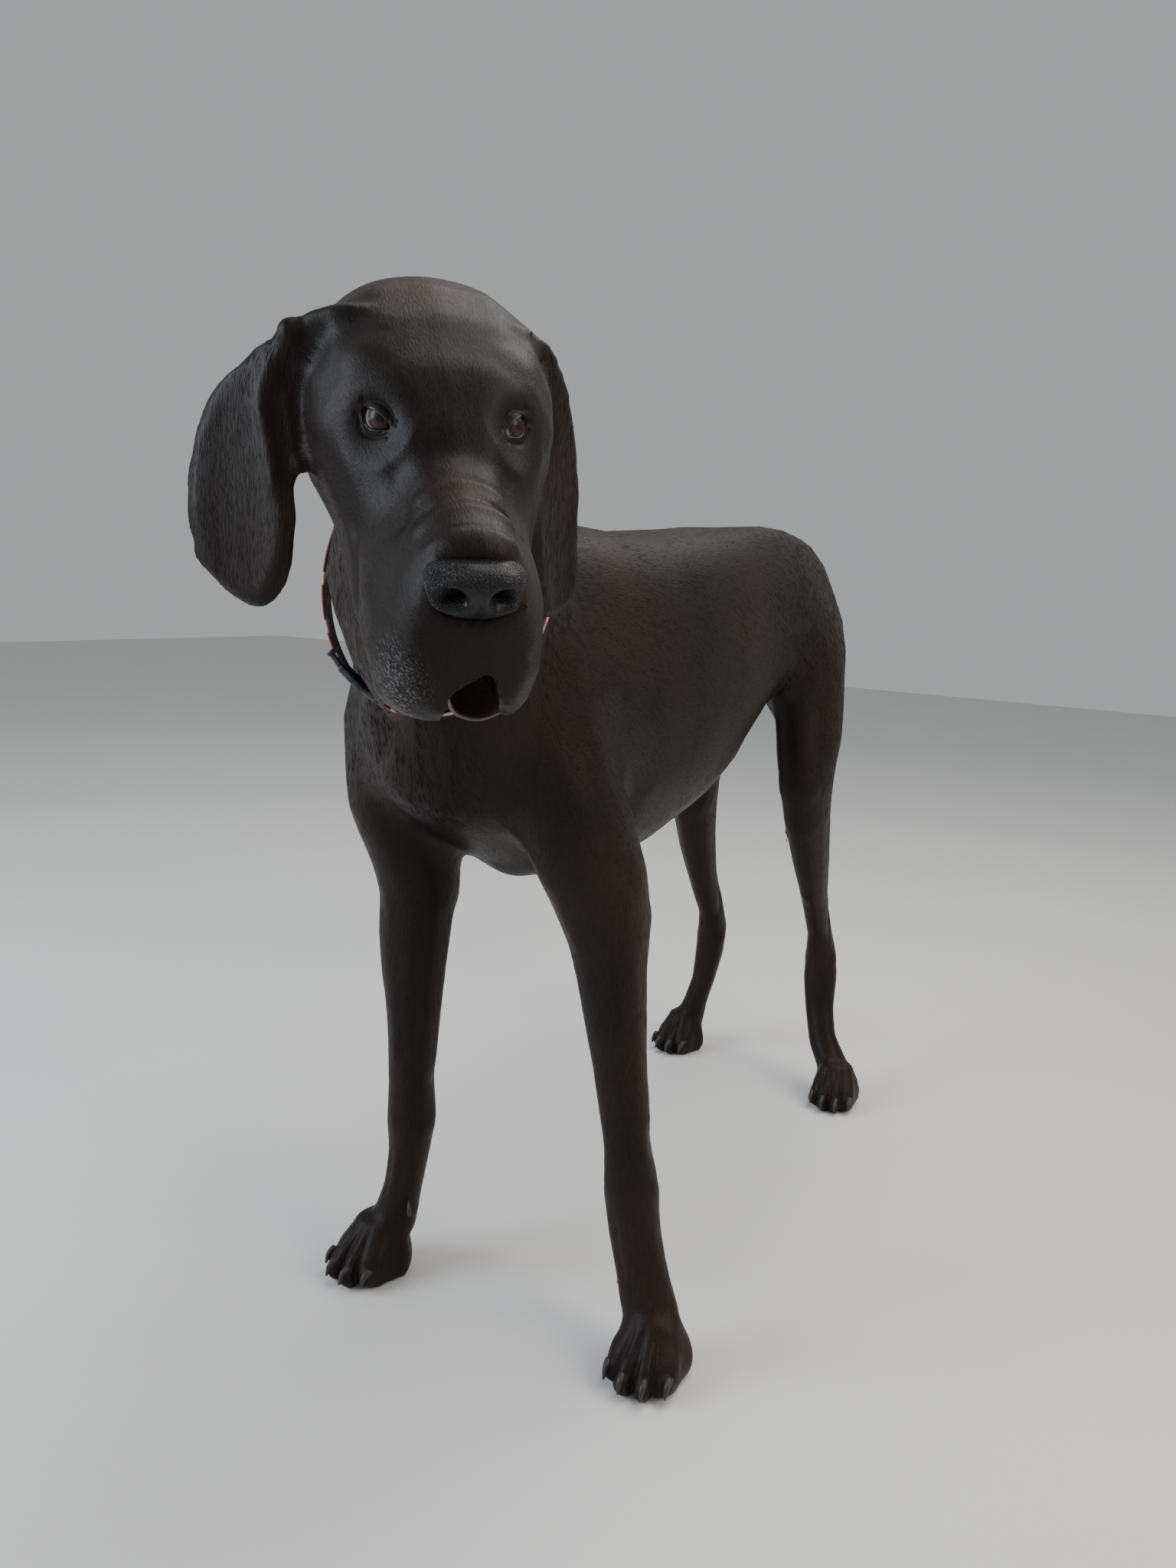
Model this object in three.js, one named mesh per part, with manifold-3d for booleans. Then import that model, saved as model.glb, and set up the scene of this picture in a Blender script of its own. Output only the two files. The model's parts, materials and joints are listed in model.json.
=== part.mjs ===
// A standing great dane at life size: short coat, hanging ears, head turned to its left and lowered.
// Millimetres. The dog faces -Y, its left is +X, up is +Z and its soles are at z = 0.
import * as THREE from "three";
import { mergeVertices } from "three/addons/utils/BufferGeometryUtils.js";
import Module from "manifold-3d";

// Driving dimensions of the trunk
const WITHERS = 808;
const BACK_DIP = 792;
const CROUP = 828;
const BRISKET = 428;
const TUCK_UP = 584;
const CHEST_FRONT = -466;
const BUTTOCK = 434;
const CHEST_HALF_WIDTH = 122;
const LOIN_HALF_WIDTH = 88;
const RUMP_HALF_WIDTH = 86;
const CHEST_LEAN = -52;
const RUMP_LEAN = 6;

// Driving dimensions and pose of the head
const HEAD_AT = [152, -704, 818];
const HEAD_YAW = 45;
const HEAD_PITCH = 28;
const HEAD_ROLL = -2;
const MUZZLE_LENGTH = 152;
const SKULL_LENGTH = 145;
const SKULL_HALF_WIDTH = 76;
const MUZZLE_HALF_WIDTH = 45;
const FLEW_DROP = 118;
const EYE_RADIUS = 12;
const EYE_AT = [30, -18, 11];
const EYE_GAZE = [0.5, -0.82, 0.27];
const ORBIT_RADIUS = 13;
const ORBIT_REACH = 10;

// Ears: the root on the head, the top of the hanging leaf, its compass angle, and its edges.
// The edge rows hold a depth and the inner and outer edge, as shares of the ear's length.
const EAR_LENGTH = 172;
const EAR_THICKNESS = 9;
const EAR_ROOT_SHARE = 0.24;
const EARS = {
  right: {
    root: [-58, 60, 44], hang: [67, -731, 884], angle: 184, side: 1,
    edges: [
      [0, -0.14, 0.05], [0.07, -0.09, 0.14], [0.15, -0.02, 0.23], [0.28, 0.04, 0.36], [0.43, 0.01, 0.43],
      [0.67, -0.06, 0.455], [0.86, -0.03, 0.4], [0.95, 0.04, 0.29], [1, 0.11, 0.19],
    ],
  },
  left: {
    root: [57, 66, 44], hang: [160, -622, 884], angle: 97, side: -1,
    edges: [
      [0, -0.14, 0.08], [0.07, -0.12, 0.24], [0.2, -0.1, 0.33], [0.32, -0.08, 0.37], [0.47, -0.04, 0.41],
      [0.67, -0.04, 0.45], [0.86, 0.03, 0.47], [0.95, 0.09, 0.42], [1, 0.17, 0.3],
    ],
  },
};

// Paws: middle of the sole and the outward turn of the toes, degrees
const PAWS = {
  fl: { at: [166, -342], turn: 5, side: 1, fore: true },
  fr: { at: [-156, -350], turn: 14, side: -1, fore: true },
  hl: { at: [140, 342], turn: 6, side: 1, fore: false },
  hr: { at: [-132, 400], turn: 14, side: -1, fore: false },
};
const FORE_PAW = { length: 100, width: 84 };
const HIND_PAW = { length: 94, width: 75 };
const CLAW_LENGTH = 17;
const CLAW_RADIUS = 4.2;

// Collar: a loose loop of flat webbing with a buckle and a ring
const COLLAR = { width: 25, thick: 3.2, high: 112, wide: 90, at: [-8, -476, 734], lean: [0.17, 0.2, 0.965] };
const COLLAR_ACROSS = [-0.888, -0.46, 0];
const BUCKLE_TURN = -1.06;
const BUCKLE_SIZE = [56, 30, 10];
const RING_TURN = 2.2;
const RING = { radius: 13, wire: 1.9, push: 18.6 };

// Heights and planes where the named parts meet
const ELBOW_CUT = 416;
const CARPUS_CUT = 172;
const FORE_PAW_CUT = 62;
const KNEE_CUT = 452;
const HOCK_CUT = 212;
const HIND_PAW_CUT = 58;
const HEAD_CUT = 98;
const LOIN_CUT = -10;
const RUMP_CUT = 190;
const TAIL_CUT = 560;

const GAP = 0.3;
const UP = new THREE.Vector3(0, 0, 1);
const FORWARD = new THREE.Vector3(0, -1, 0);

const COAT = { color: 0x1c1715, roughness: 0.55, metalness: 0 };
const NOSE = { color: 0x0c0c0e, roughness: 0.3, metalness: 0 };
const EYE = { color: 0x2a1710, roughness: 0.1, metalness: 0 };
const HORN = { color: 0x57534f, roughness: 0.5, metalness: 0 };
const WEBBING = { color: 0x6a2230, roughness: 0.8, metalness: 0 };
const BUCKLE = { color: 0x23262e, roughness: 0.4, metalness: 0 };
const STEEL = { color: 0xa8a8aa, roughness: 0.3, metalness: 1 };

const wasm = await Module();
wasm.setup();
const { Manifold, Mesh: SolidMesh } = wasm;

const radians = THREE.MathUtils.degToRad;
const blend = THREE.MathUtils.lerp;
const vector = (point) => new THREE.Vector3(...point);

// Joining and cutting
function solid(geometry) {
  const bare = geometry.clone();
  bare.deleteAttribute("normal");
  bare.deleteAttribute("uv");
  const merged = mergeVertices(bare, 1e-4);
  const vertProperties = new Float32Array(merged.attributes.position.array);
  const triVerts = new Uint32Array(merged.index.array);
  return new Manifold(new SolidMesh({ numProp: 3, vertProperties, triVerts }));
}

function surface(manifold) {
  const mesh = manifold.getMesh();
  const geometry = new THREE.BufferGeometry();
  geometry.setAttribute("position", new THREE.BufferAttribute(new Float32Array(mesh.vertProperties), 3));
  geometry.setIndex(new THREE.BufferAttribute(new Uint32Array(mesh.triVerts), 1));
  geometry.computeVertexNormals();
  return geometry;
}

const join = (solids) => solids.reduce((whole, piece) => whole.add(piece));
const largest = (manifold) => manifold.decompose().sort((a, b) => b.volume() - a.volume())[0];

// Station rows spread evenly along one smooth curve through them
function resample(rows, count) {
  const last = rows.length - 1;
  const row = (k) => rows[Math.min(Math.max(k, 0), last)];
  const smooth = (a, b, c, d, t) =>
    b + 0.5 * t * (c - a + t * (2 * a - 5 * b + 4 * c - d + t * (3 * (b - c) + d - a)));
  return Array.from({ length: count }, (_, n) => {
    const place = (n / (count - 1)) * last;
    const k = Math.min(Math.floor(place), last - 1);
    const near = [row(k - 1), row(k), row(k + 1), row(k + 2)];
    return near[1].map((_value, i) => smooth(near[0][i], near[1][i], near[2][i], near[3][i], place - k));
  });
}

// The faces are turned over when they point inward
function outward(geometry) {
  const at = geometry.attributes.position;
  const index = geometry.index.array;
  const [a, b, c] = [new THREE.Vector3(), new THREE.Vector3(), new THREE.Vector3()];
  let volume = 0;
  for (let i = 0; i < index.length; i += 3) {
    a.fromBufferAttribute(at, index[i]);
    b.fromBufferAttribute(at, index[i + 1]);
    c.fromBufferAttribute(at, index[i + 2]);
    volume += a.dot(b.cross(c));
  }
  if (volume < 0) {
    geometry.setIndex(Array.from(index).reverse());
  }
  return geometry;
}

// A closed skin over rings of points, its ends drawn to the rings' middles
function closedLoft(rings) {
  const sides = rings[0].length;
  const points = rings.flat();
  const middle = (ring) => ring.reduce((sum, p) => sum.add(p), new THREE.Vector3()).divideScalar(sides);
  points.push(middle(rings[0]), middle(rings.at(-1)));
  const first = points.length - 2;
  const last = points.length - 1;
  const end = (rings.length - 1) * sides;
  const index = [];
  for (let k = 0; k < sides; k += 1) {
    const next = (k + 1) % sides;
    for (let r = 0; r < rings.length - 1; r += 1) {
      const a = r * sides;
      index.push(a + k, a + next, a + sides + next, a + k, a + sides + next, a + sides + k);
    }
    index.push(first, next, k, last, end + k, end + next);
  }
  const geometry = new THREE.BufferGeometry().setFromPoints(points);
  geometry.setIndex(index);
  return outward(geometry);
}

// Stations: x, y, z, half width, half depth ahead of the middle, half depth behind it, swell.
// The depth follows a reference direction; swell widens the section on the reference side.
function body(stations, { reference = FORWARD, sides = 14, count = stations.length, square = 2 } = {}) {
  const rows = resample(stations, count);
  const centres = rows.map(([x, y, z]) => new THREE.Vector3(x, y, z));
  const reach = (value) => Math.sign(value) * Math.abs(value) ** (2 / square);
  const rings = rows.map(([, , , half, fore, aft, swell = 0], n) => {
    const along = centres[Math.min(n + 1, count - 1)].clone().sub(centres[Math.max(n - 1, 0)]).normalize();
    const ahead = reference.clone().addScaledVector(along, -reference.dot(along)).normalize();
    const across = new THREE.Vector3().crossVectors(along, ahead);
    return Array.from({ length: sides }, (_, k) => {
      const turn = (2 * Math.PI * k) / sides;
      const depth = reach(Math.sin(turn));
      const width = half * (1 + swell * depth) * reach(Math.cos(turn));
      const rise = depth * (depth > 0 ? fore : aft);
      return centres[n].clone().addScaledVector(across, width).addScaledVector(ahead, rise);
    });
  });
  return closedLoft(rings);
}

// Rows of y, top, bottom, half width, middle x and swell become stations of a level body
const levelStations = (rows) => rows.map(([y, top, bottom, half, x = 0, swell = 0]) =>
  [x, y, (top + bottom) / 2, half, (top - bottom) / 2, (top - bottom) / 2, swell]);

function trunk() {
  const lean = (y) => blend(CHEST_LEAN, RUMP_LEAN, THREE.MathUtils.smoothstep(y, CHEST_FRONT, BUTTOCK));
  const rows = [
    [CHEST_FRONT, 600, 548, 22, 0],
    [CHEST_FRONT + 16, 640, 516, 60, 0],
    [CHEST_FRONT + 50, 700, 482, 90, 0.04],
    [-360, WITHERS - 34, BRISKET + 26, 106, 0.04],
    [-290, WITHERS, BRISKET + 10, 112, 0.02],
    [-215, WITHERS - 12, BRISKET, CHEST_HALF_WIDTH - 4, 0],
    [-130, BACK_DIP, BRISKET + 10, CHEST_HALF_WIDTH, 0],
    [-45, BACK_DIP + 8, BRISKET + 34, CHEST_HALF_WIDTH - 3, 0],
    [40, BACK_DIP + 20, TUCK_UP - 78, 112, 0],
    [115, CROUP - 8, TUCK_UP - 30, LOIN_HALF_WIDTH + 8, -0.04],
    [180, CROUP - 2, TUCK_UP, LOIN_HALF_WIDTH, -0.08],
    [250, CROUP, TUCK_UP + 6, RUMP_HALF_WIDTH + 2, -0.12],
    [315, CROUP - 10, TUCK_UP, RUMP_HALF_WIDTH, -0.16],
    [370, CROUP - 34, TUCK_UP + 12, RUMP_HALF_WIDTH - 8, -0.18],
    [410, CROUP - 72, TUCK_UP + 40, 60, -0.18],
    [BUTTOCK, CROUP - 114, TUCK_UP + 74, 32, -0.1],
  ].map(([y, top, bottom, half, swell]) => [y, top, bottom, half, lean(y), swell]);
  return body(levelStations(rows), { reference: UP, sides: 16, count: 16, square: 2.15 });
}

function sheath() {
  return body([
    [-4, 75, 566, 10, 10, 12],
    [-3, 100, 560, 15, 14, 15],
    [0, 150, 572, 16, 16, 16],
    [3, 205, 592, 16, 16, 16],
  ], { reference: UP, sides: 10 });
}

function neck() {
  return body([
    [-52, -322, 664, 104, 136, 150],
    [-42, -392, 690, 98, 124, 134],
    [-12, -460, 722, 88, 112, 113],
    [26, -528, 764, 77, 101, 95],
    [62, -588, 802, 68, 92, 84],
    [92, -642, 836, 62, 78, 78],
    [106, -664, 838, 54, 66, 70],
  ], { reference: UP, sides: 13, count: 7 });
}

// The head is made facing -Y with the middle of the eyes at the origin, then posed
const headTurn = new THREE.Euler(radians(HEAD_PITCH), radians(HEAD_ROLL), radians(HEAD_YAW), "ZXY");
const headPose = new THREE.Matrix4().makeRotationFromEuler(headTurn).setPosition(...HEAD_AT);
const onHead = (geometry) => solid(geometry.applyMatrix4(headPose));

function skull(margin = 0) {
  const front = -MUZZLE_LENGTH;
  const rows = [
    [front - 1 - margin, -18, -76, 14, -0.1],
    [front + 3 - margin, -2, -92, 30, -0.14],
    [front + 20, 6, -104, MUZZLE_HALF_WIDTH - 6, -0.22],
    [front + 45, 7, -FLEW_DROP + 1, MUZZLE_HALF_WIDTH, -0.27],
    [front + 72, 8, -FLEW_DROP - 5, MUZZLE_HALF_WIDTH + 2, -0.29],
    [front + 98, 10, -FLEW_DROP - 5, MUZZLE_HALF_WIDTH + 4, -0.27],
    [front + 122, 15, -113, MUZZLE_HALF_WIDTH + 9, -0.18],
    [-8, 31, -104, 61, -0.08],
    [14, 47, -96, 70, -0.02],
    [42, 57, -94, SKULL_HALF_WIDTH + 1, 0],
    [72, 62, -92, SKULL_HALF_WIDTH, 0.02],
    [102, 58, -86, SKULL_HALF_WIDTH - 8, 0.04],
    [128, 48, -74, SKULL_HALF_WIDTH - 24, 0],
    [SKULL_LENGTH + margin, 30, -50, SKULL_HALF_WIDTH - 48, 0],
  ].map(([y, top, bottom, half, swell]) => [y, top + margin, bottom - margin, half + margin, 0, swell]);
  return onHead(body(levelStations(rows), { reference: UP, sides: 16, count: 14, square: 2.35 }));
}

function nosePad(margin = 0) {
  const front = -MUZZLE_LENGTH - 13;
  const rows = [
    [front - margin, -6, -22, 12],
    [front + 4, 2, -30, 22],
    [front + 12, 6, -35, 26],
    [front + 20, 6, -34, 24],
    [front + 26 + margin, 0, -28, 15],
  ].map(([y, top, bottom, half]) => [y, top + margin, bottom - margin, half + margin, 0, 0.1]);
  return onHead(body(levelStations(rows), { reference: UP, sides: 12, square: 2.4 }));
}

// The lower jaw lies between the hanging lips; the mouth is the same shape grown by a margin
function jaw(margin) {
  const rows = [
    [-MUZZLE_LENGTH + 22 - margin, -84, -94, 12],
    [-MUZZLE_LENGTH + 28, -76, -103, 20],
    [-MUZZLE_LENGTH + 50, -70, -108, 25],
    [-MUZZLE_LENGTH + 90, -66, -111, 29],
    [-30, -62, -110, 34],
    [0, -58, -106, 38],
    [16 + margin, -62, -102, 34],
  ].map(([y, top, bottom, half]) => [y, top + margin, bottom - margin, half + margin, 0, 0]);
  return onHead(body(levelStations(rows), { reference: UP, sides: 10, square: 2.4 }));
}

// The lips part in front, below the nose, and are open between the flews from beneath
function mouthOpening() {
  const front = body([
    [6, -MUZZLE_LENGTH - 12, -66, 3, 4, 4],
    [7, -MUZZLE_LENGTH - 6, -86, 11, 14, 20],
    [8, -MUZZLE_LENGTH + 2, -106, 17, 20, 40],
    [8, -MUZZLE_LENGTH + 4, -124, 22, 24, 50],
  ], { sides: 8 });
  const underside = body([
    [0, -MUZZLE_LENGTH + 74, -92, 24, 62, 58],
    [0, -MUZZLE_LENGTH + 74, -134, 32, 60, 58],
  ], { sides: 10, square: 2.6 });
  return onHead(front).add(onHead(underside));
}

function eyeBall(side, radius) {
  const ball = new THREE.SphereGeometry(radius, 10, 7);
  return onHead(ball.translate(side * EYE_AT[0], EYE_AT[1], EYE_AT[2]));
}

// The hollow between brow and cheek that opens over the eye
function orbit(side) {
  const centre = EYE_AT.map((value, i) => value + EYE_GAZE[i] * ORBIT_REACH);
  const hollow = new THREE.SphereGeometry(ORBIT_RADIUS, 8, 6).scale(1, 1, 0.8);
  return onHead(hollow.translate(side * centre[0], centre[1], centre[2]));
}

// The leaf springs from its root on the skull, turns over and hangs straight down
function ear({ root, hang, angle, side, edges }) {
  const across = new THREE.Vector3(Math.cos(radians(angle)), Math.sin(radians(angle)), 0);
  const out = new THREE.Vector3().crossVectors(across, UP).multiplyScalar(side);
  const hangPoint = vector(hang);
  const inset = vector(root).applyMatrix4(headPose).sub(hangPoint);
  inset.setZ(0);
  const sides = 12;
  const rings = edges.map(([depth, inner, outer]) => {
    const half = (EAR_LENGTH * (outer - inner)) / 2;
    const held = 1 - THREE.MathUtils.smoothstep(depth, 0, EAR_ROOT_SHARE);
    const middle = hangPoint.clone().addScaledVector(across, (EAR_LENGTH * (outer + inner)) / 2)
      .addScaledVector(UP, -depth * EAR_LENGTH).addScaledVector(inset, held);
    const thick = blend(EAR_THICKNESS * 0.9, EAR_THICKNESS * 0.32, depth);
    return Array.from({ length: sides }, (_, k) => {
      const turn = (2 * Math.PI * k) / sides;
      const cup = 0.16 * half * Math.cos(turn) ** 2;
      return middle.clone().addScaledVector(across, half * Math.cos(turn))
        .addScaledVector(out, thick * Math.sin(turn) - cup);
    });
  });
  return solid(closedLoft(rings));
}

// Legs: stations from the top of the limb down to the paw, in the dog's own place
const LIMBS = {
  shoulder_fr: [
    [-88, -262, 742, 24, 32, 36], [-112, -318, 702, 42, 58, 66], [-130, -376, 612, 50, 66, 78],
    [-138, -352, 524, 48, 62, 76], [-138, -322, 452, 43, 52, 60], [-134, -318, 398, 38, 42, 46],
  ],
  shoulder_fl: [
    [-8, -262, 742, 24, 32, 36], [12, -318, 702, 42, 58, 66], [32, -372, 612, 48, 62, 78],
    [52, -345, 524, 52, 62, 74], [70, -314, 452, 48, 54, 58], [82, -310, 398, 38, 42, 44],
  ],
  fore_fr: [
    [-136, -320, 430, 40, 46, 54], [-135, -324, 380, 37, 40, 42], [-131, -329, 310, 31, 33, 34],
    [-130, -331, 235, 25, 27, 28], [-130, -332, 190, 26, 26, 28], [-129, -333, 160, 27, 25, 34],
    [-132, -333, 125, 21, 21, 26], [-138, -333, 88, 22, 22, 24], [-146, -336, 50, 25, 26, 24],
  ],
  fore_fl: [
    [74, -306, 430, 45, 46, 54], [85, -312, 380, 36, 40, 42], [100, -320, 310, 29, 31, 34],
    [117, -325, 235, 24, 26, 28], [124, -327, 190, 26, 27, 28], [130, -328, 152, 29, 26, 34],
    [136, -328, 118, 27, 22, 26], [145, -328, 88, 28, 23, 25], [158, -330, 50, 29, 27, 25],
  ],
  thigh_hl: [
    [42, 300, 760, 28, 50, 56], [56, 294, 690, 50, 84, 84], [66, 284, 610, 52, 84, 80],
    [78, 268, 540, 43, 70, 70], [84, 260, 480, 35, 60, 58], [84, 276, 425, 30, 46, 52],
  ],
  thigh_hr: [
    [-30, 312, 760, 28, 50, 56], [-46, 306, 690, 50, 84, 84], [-62, 296, 610, 52, 84, 80],
    [-78, 280, 540, 43, 70, 70], [-86, 272, 480, 35, 60, 58], [-90, 288, 425, 30, 46, 52],
  ],
  hind_hl: [
    [84, 272, 440, 31, 50, 54], [83, 308, 374, 26, 38, 46], [81, 346, 310, 20, 28, 36],
    [80, 382, 255, 16, 21, 32], [82, 400, 214, 21, 24, 46], [85, 400, 186, 25, 26, 34],
    [90, 394, 150, 27, 22, 26], [96, 384, 110, 22, 20, 21], [108, 372, 76, 22, 21, 21],
    [128, 362, 46, 23, 24, 22],
  ],
  hind_hr: [
    [-90, 284, 440, 31, 50, 54], [-96, 316, 374, 27, 38, 46], [-97, 348, 310, 22, 29, 36],
    [-95, 380, 258, 17, 22, 32], [-94, 398, 218, 21, 24, 46], [-95, 402, 190, 24, 26, 33],
    [-98, 404, 152, 22, 22, 26], [-106, 406, 110, 19, 20, 21], [-117, 409, 76, 20, 21, 21],
    [-126, 412, 46, 23, 24, 22],
  ],
};

const limb = (name, sides, count) => solid(body(LIMBS[name], { sides, count }));

// A paw is made facing -Y about the middle of its sole, then turned and set down
function onPaw(paw, geometry) {
  return solid(geometry.rotateZ(radians(paw.turn * paw.side)).translate(...paw.at, 0));
}

// Places of the four toes: sideways and forward, as shares of the paw's width and length
const TOES = [[-0.36, 0.29], [-0.13, 0.42], [0.13, 0.42], [0.36, 0.29]];

// Levels of a paw: height, reach ahead, reach behind, half width and depth of the toes' lobes
const PAW_LEVELS = [
  [0, 0.5, 0.32, 0.44, 0.1],
  [8, 0.56, 0.36, 0.49, 0.13],
  [20, 0.55, 0.36, 0.5, 0.15],
  [33, 0.44, 0.35, 0.46, 0.13],
  [46, 0.27, 0.31, 0.37, 0.06],
  [60, 0.16, 0.25, 0.28, 0],
];

// The plan outline has four lobes between the two ends of the toes' arc, and a round heel
function pawBody(size) {
  const [arcStart, arcEnd, pointsPerToe, heelPoints] = [14, 166, 3, 6];
  const toePoints = 4 * pointsPerToe;
  const turns = Array.from({ length: toePoints + heelPoints }, (_, k) => (k <= toePoints
    ? blend(arcStart, arcEnd, k / toePoints)
    : blend(arcEnd, arcStart + 360, (k - toePoints) / heelPoints)));
  return closedLoft(PAW_LEVELS.map(([z, ahead, behind, half, lobe]) => turns.map((turn, k) => {
    const notch = k <= toePoints ? 1 - Math.sin((Math.PI * k) / pointsPerToe) ** 2 : 0;
    const reach = 1 - lobe * notch;
    const [cos, sin] = [Math.cos(radians(turn)), Math.sin(radians(turn))];
    const depth = size.length * (sin > 0 ? ahead : behind);
    return new THREE.Vector3(reach * half * size.width * cos, -reach * depth * sin, z);
  })));
}

function claw(size, [sideways, forward], margin) {
  const x = sideways * size.width;
  const y = -forward * size.length;
  const r = CLAW_RADIUS;
  const radius = (share) => [r * share * 0.85 + margin, r * share + margin, r * share + margin];
  return body([
    [x, y - 6, 18, ...radius(1)],
    [x, y - CLAW_LENGTH + 4, 14, ...radius(0.8)],
    [x, y - CLAW_LENGTH - 2, 5, ...radius(0.2)],
  ], { reference: UP, sides: 5 });
}

// The dewclaw sits on the inner side of the front pastern
function dewclaw(paw, margin) {
  const x = -paw.side;
  const radius = (share) => Array(3).fill(CLAW_RADIUS * 0.8 * share + margin);
  return body([
    [x * 30, 16, 95, ...radius(1)],
    [x * 42, 12, 88, ...radius(1)],
    [x * 46, 6, 76, ...radius(0.4)],
  ], { sides: 5 });
}

function tail() {
  return solid(body([
    [8, 392, 776, 27, 26, 30], [8, 430, 744, 23, 23, 23], [7, 454, 690, 18, 18, 18],
    [4, 468, 610, 14, 14, 14], [2, 470, 530, 11, 11, 11], [0, 464, 450, 9, 9, 9],
    [0, 456, 385, 7.5, 7.5, 7.5], [0, 451, 350, 3, 3, 3],
  ], { sides: 8, count: 7 }));
}

// The collar's loop: a point on it for a turn, pushed outward and slid along the neck
const collarHigh = vector(COLLAR.lean).normalize();
const collarWide = vector(COLLAR_ACROSS);
collarWide.addScaledVector(collarHigh, -collarWide.dot(collarHigh)).normalize();
const collarThrust = new THREE.Vector3().crossVectors(collarHigh, collarWide);

function collarPoint(turn, push, slide) {
  return vector(COLLAR.at).addScaledVector(collarWide, (COLLAR.wide + push) * Math.cos(turn))
    .addScaledVector(collarHigh, (COLLAR.high + push) * Math.sin(turn))
    .addScaledVector(collarThrust, slide);
}

function collarBand(margin) {
  const steps = 20;
  const half = COLLAR.width / 2 + margin;
  const outer = COLLAR.thick + margin;
  const section = [[-margin, -half], [outer, -half], [outer, half], [-margin, half]];
  const points = [];
  const index = [];
  for (let n = 0; n < steps; n += 1) {
    section.forEach(([push, slide]) => points.push(collarPoint((2 * Math.PI * n) / steps, push, slide)));
    for (let k = 0; k < 4; k += 1) {
      const a = n * 4;
      const b = ((n + 1) % steps) * 4;
      const next = (k + 1) % 4;
      index.push(a + k, a + next, b + next, a + k, b + next, b + k);
    }
  }
  const geometry = new THREE.BufferGeometry().setFromPoints(points);
  geometry.setIndex(index);
  return solid(outward(geometry));
}

// A piece fastened on the collar at a turn of its loop
function onCollar(geometry, turn, push) {
  const out = collarPoint(turn, 10, 0).sub(collarPoint(turn, 0, 0)).normalize();
  const along = new THREE.Vector3().crossVectors(collarThrust, out).normalize();
  const place = new THREE.Matrix4().makeBasis(along, collarThrust, out);
  return solid(geometry.applyMatrix4(place.setPosition(collarPoint(turn, push, 0))));
}

function buckle(margin) {
  const size = BUCKLE_SIZE.map((side) => side + 2 * margin);
  return onCollar(new THREE.BoxGeometry(...size), BUCKLE_TURN, 2);
}

function ring(margin) {
  const torus = new THREE.TorusGeometry(RING.radius, RING.wire + margin, 5, 12);
  return onCollar(torus.rotateX(Math.PI / 2), RING_TURN, RING.push);
}

// Regions part the body where its parts are named; a thin gap is left along each cut
function block(low, high, margin) {
  const size = high.map((value, i) => value - low[i] + 2 * margin);
  const middle = high.map((value, i) => (value + low[i]) / 2);
  return solid(new THREE.BoxGeometry(...size).translate(...middle));
}

// A round region beside the trunk, from an inner plane outward, with a straight foot beneath it
function limbRegion({ inner, side, y, z, radius, foot }, margin) {
  const outer = inner + side * 160;
  const round = new THREE.CylinderGeometry(1, 1, 160 + 2 * margin, 12).rotateZ(Math.PI / 2);
  round.scale(1, radius[0] + margin, radius[1] + margin);
  const turned = solid(round.translate((inner + outer) / 2, y, z));
  const low = [Math.min(inner, outer), foot[0], foot[2]];
  return turned.add(block(low, [Math.max(inner, outer), foot[1], z], margin));
}

function headRegion(margin) {
  const reach = 260;
  const box = new THREE.BoxGeometry(2 * reach, reach + margin, 2 * reach);
  return onHead(box.translate(0, HEAD_CUT - (reach - margin) / 2, 0));
}

function neckRegion(margin) {
  const reach = 500;
  const box = new THREE.BoxGeometry(reach, reach + margin, reach).translate(0, (margin - reach) / 2, 0);
  return solid(box.rotateX(radians(-20)).rotateZ(radians(26)).translate(-26, -398, 700));
}

// The whole flesh as one solid, before it is parted
function fleshSolid() {
  const pieces = [solid(trunk()), solid(sheath()), solid(neck()), skull(), nosePad(), tail()];
  for (const leg of ["fr", "fl"]) {
    pieces.push(limb(`shoulder_${leg}`, 10, 6), limb(`fore_${leg}`, 9, 8));
  }
  for (const leg of ["hl", "hr"]) {
    pieces.push(limb(`thigh_${leg}`, 10, 6), limb(`hind_${leg}`, 9, 9));
  }
  for (const paw of Object.values(PAWS)) {
    const size = paw.fore ? FORE_PAW : HIND_PAW;
    pieces.push(onPaw(paw, pawBody(size)));
  }
  return join(pieces);
}

const nodes = [];
let flesh = fleshSolid();

function addNode(name, manifold, look) {
  const mesh = new THREE.Mesh(surface(manifold), new THREE.MeshStandardMaterial(look));
  mesh.name = name;
  nodes.push(mesh);
}

function part(name, region, look = COAT) {
  addNode(name, largest(flesh.intersect(region(-GAP / 2))), look);
  flesh = flesh.subtract(region(GAP / 2));
}

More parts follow.
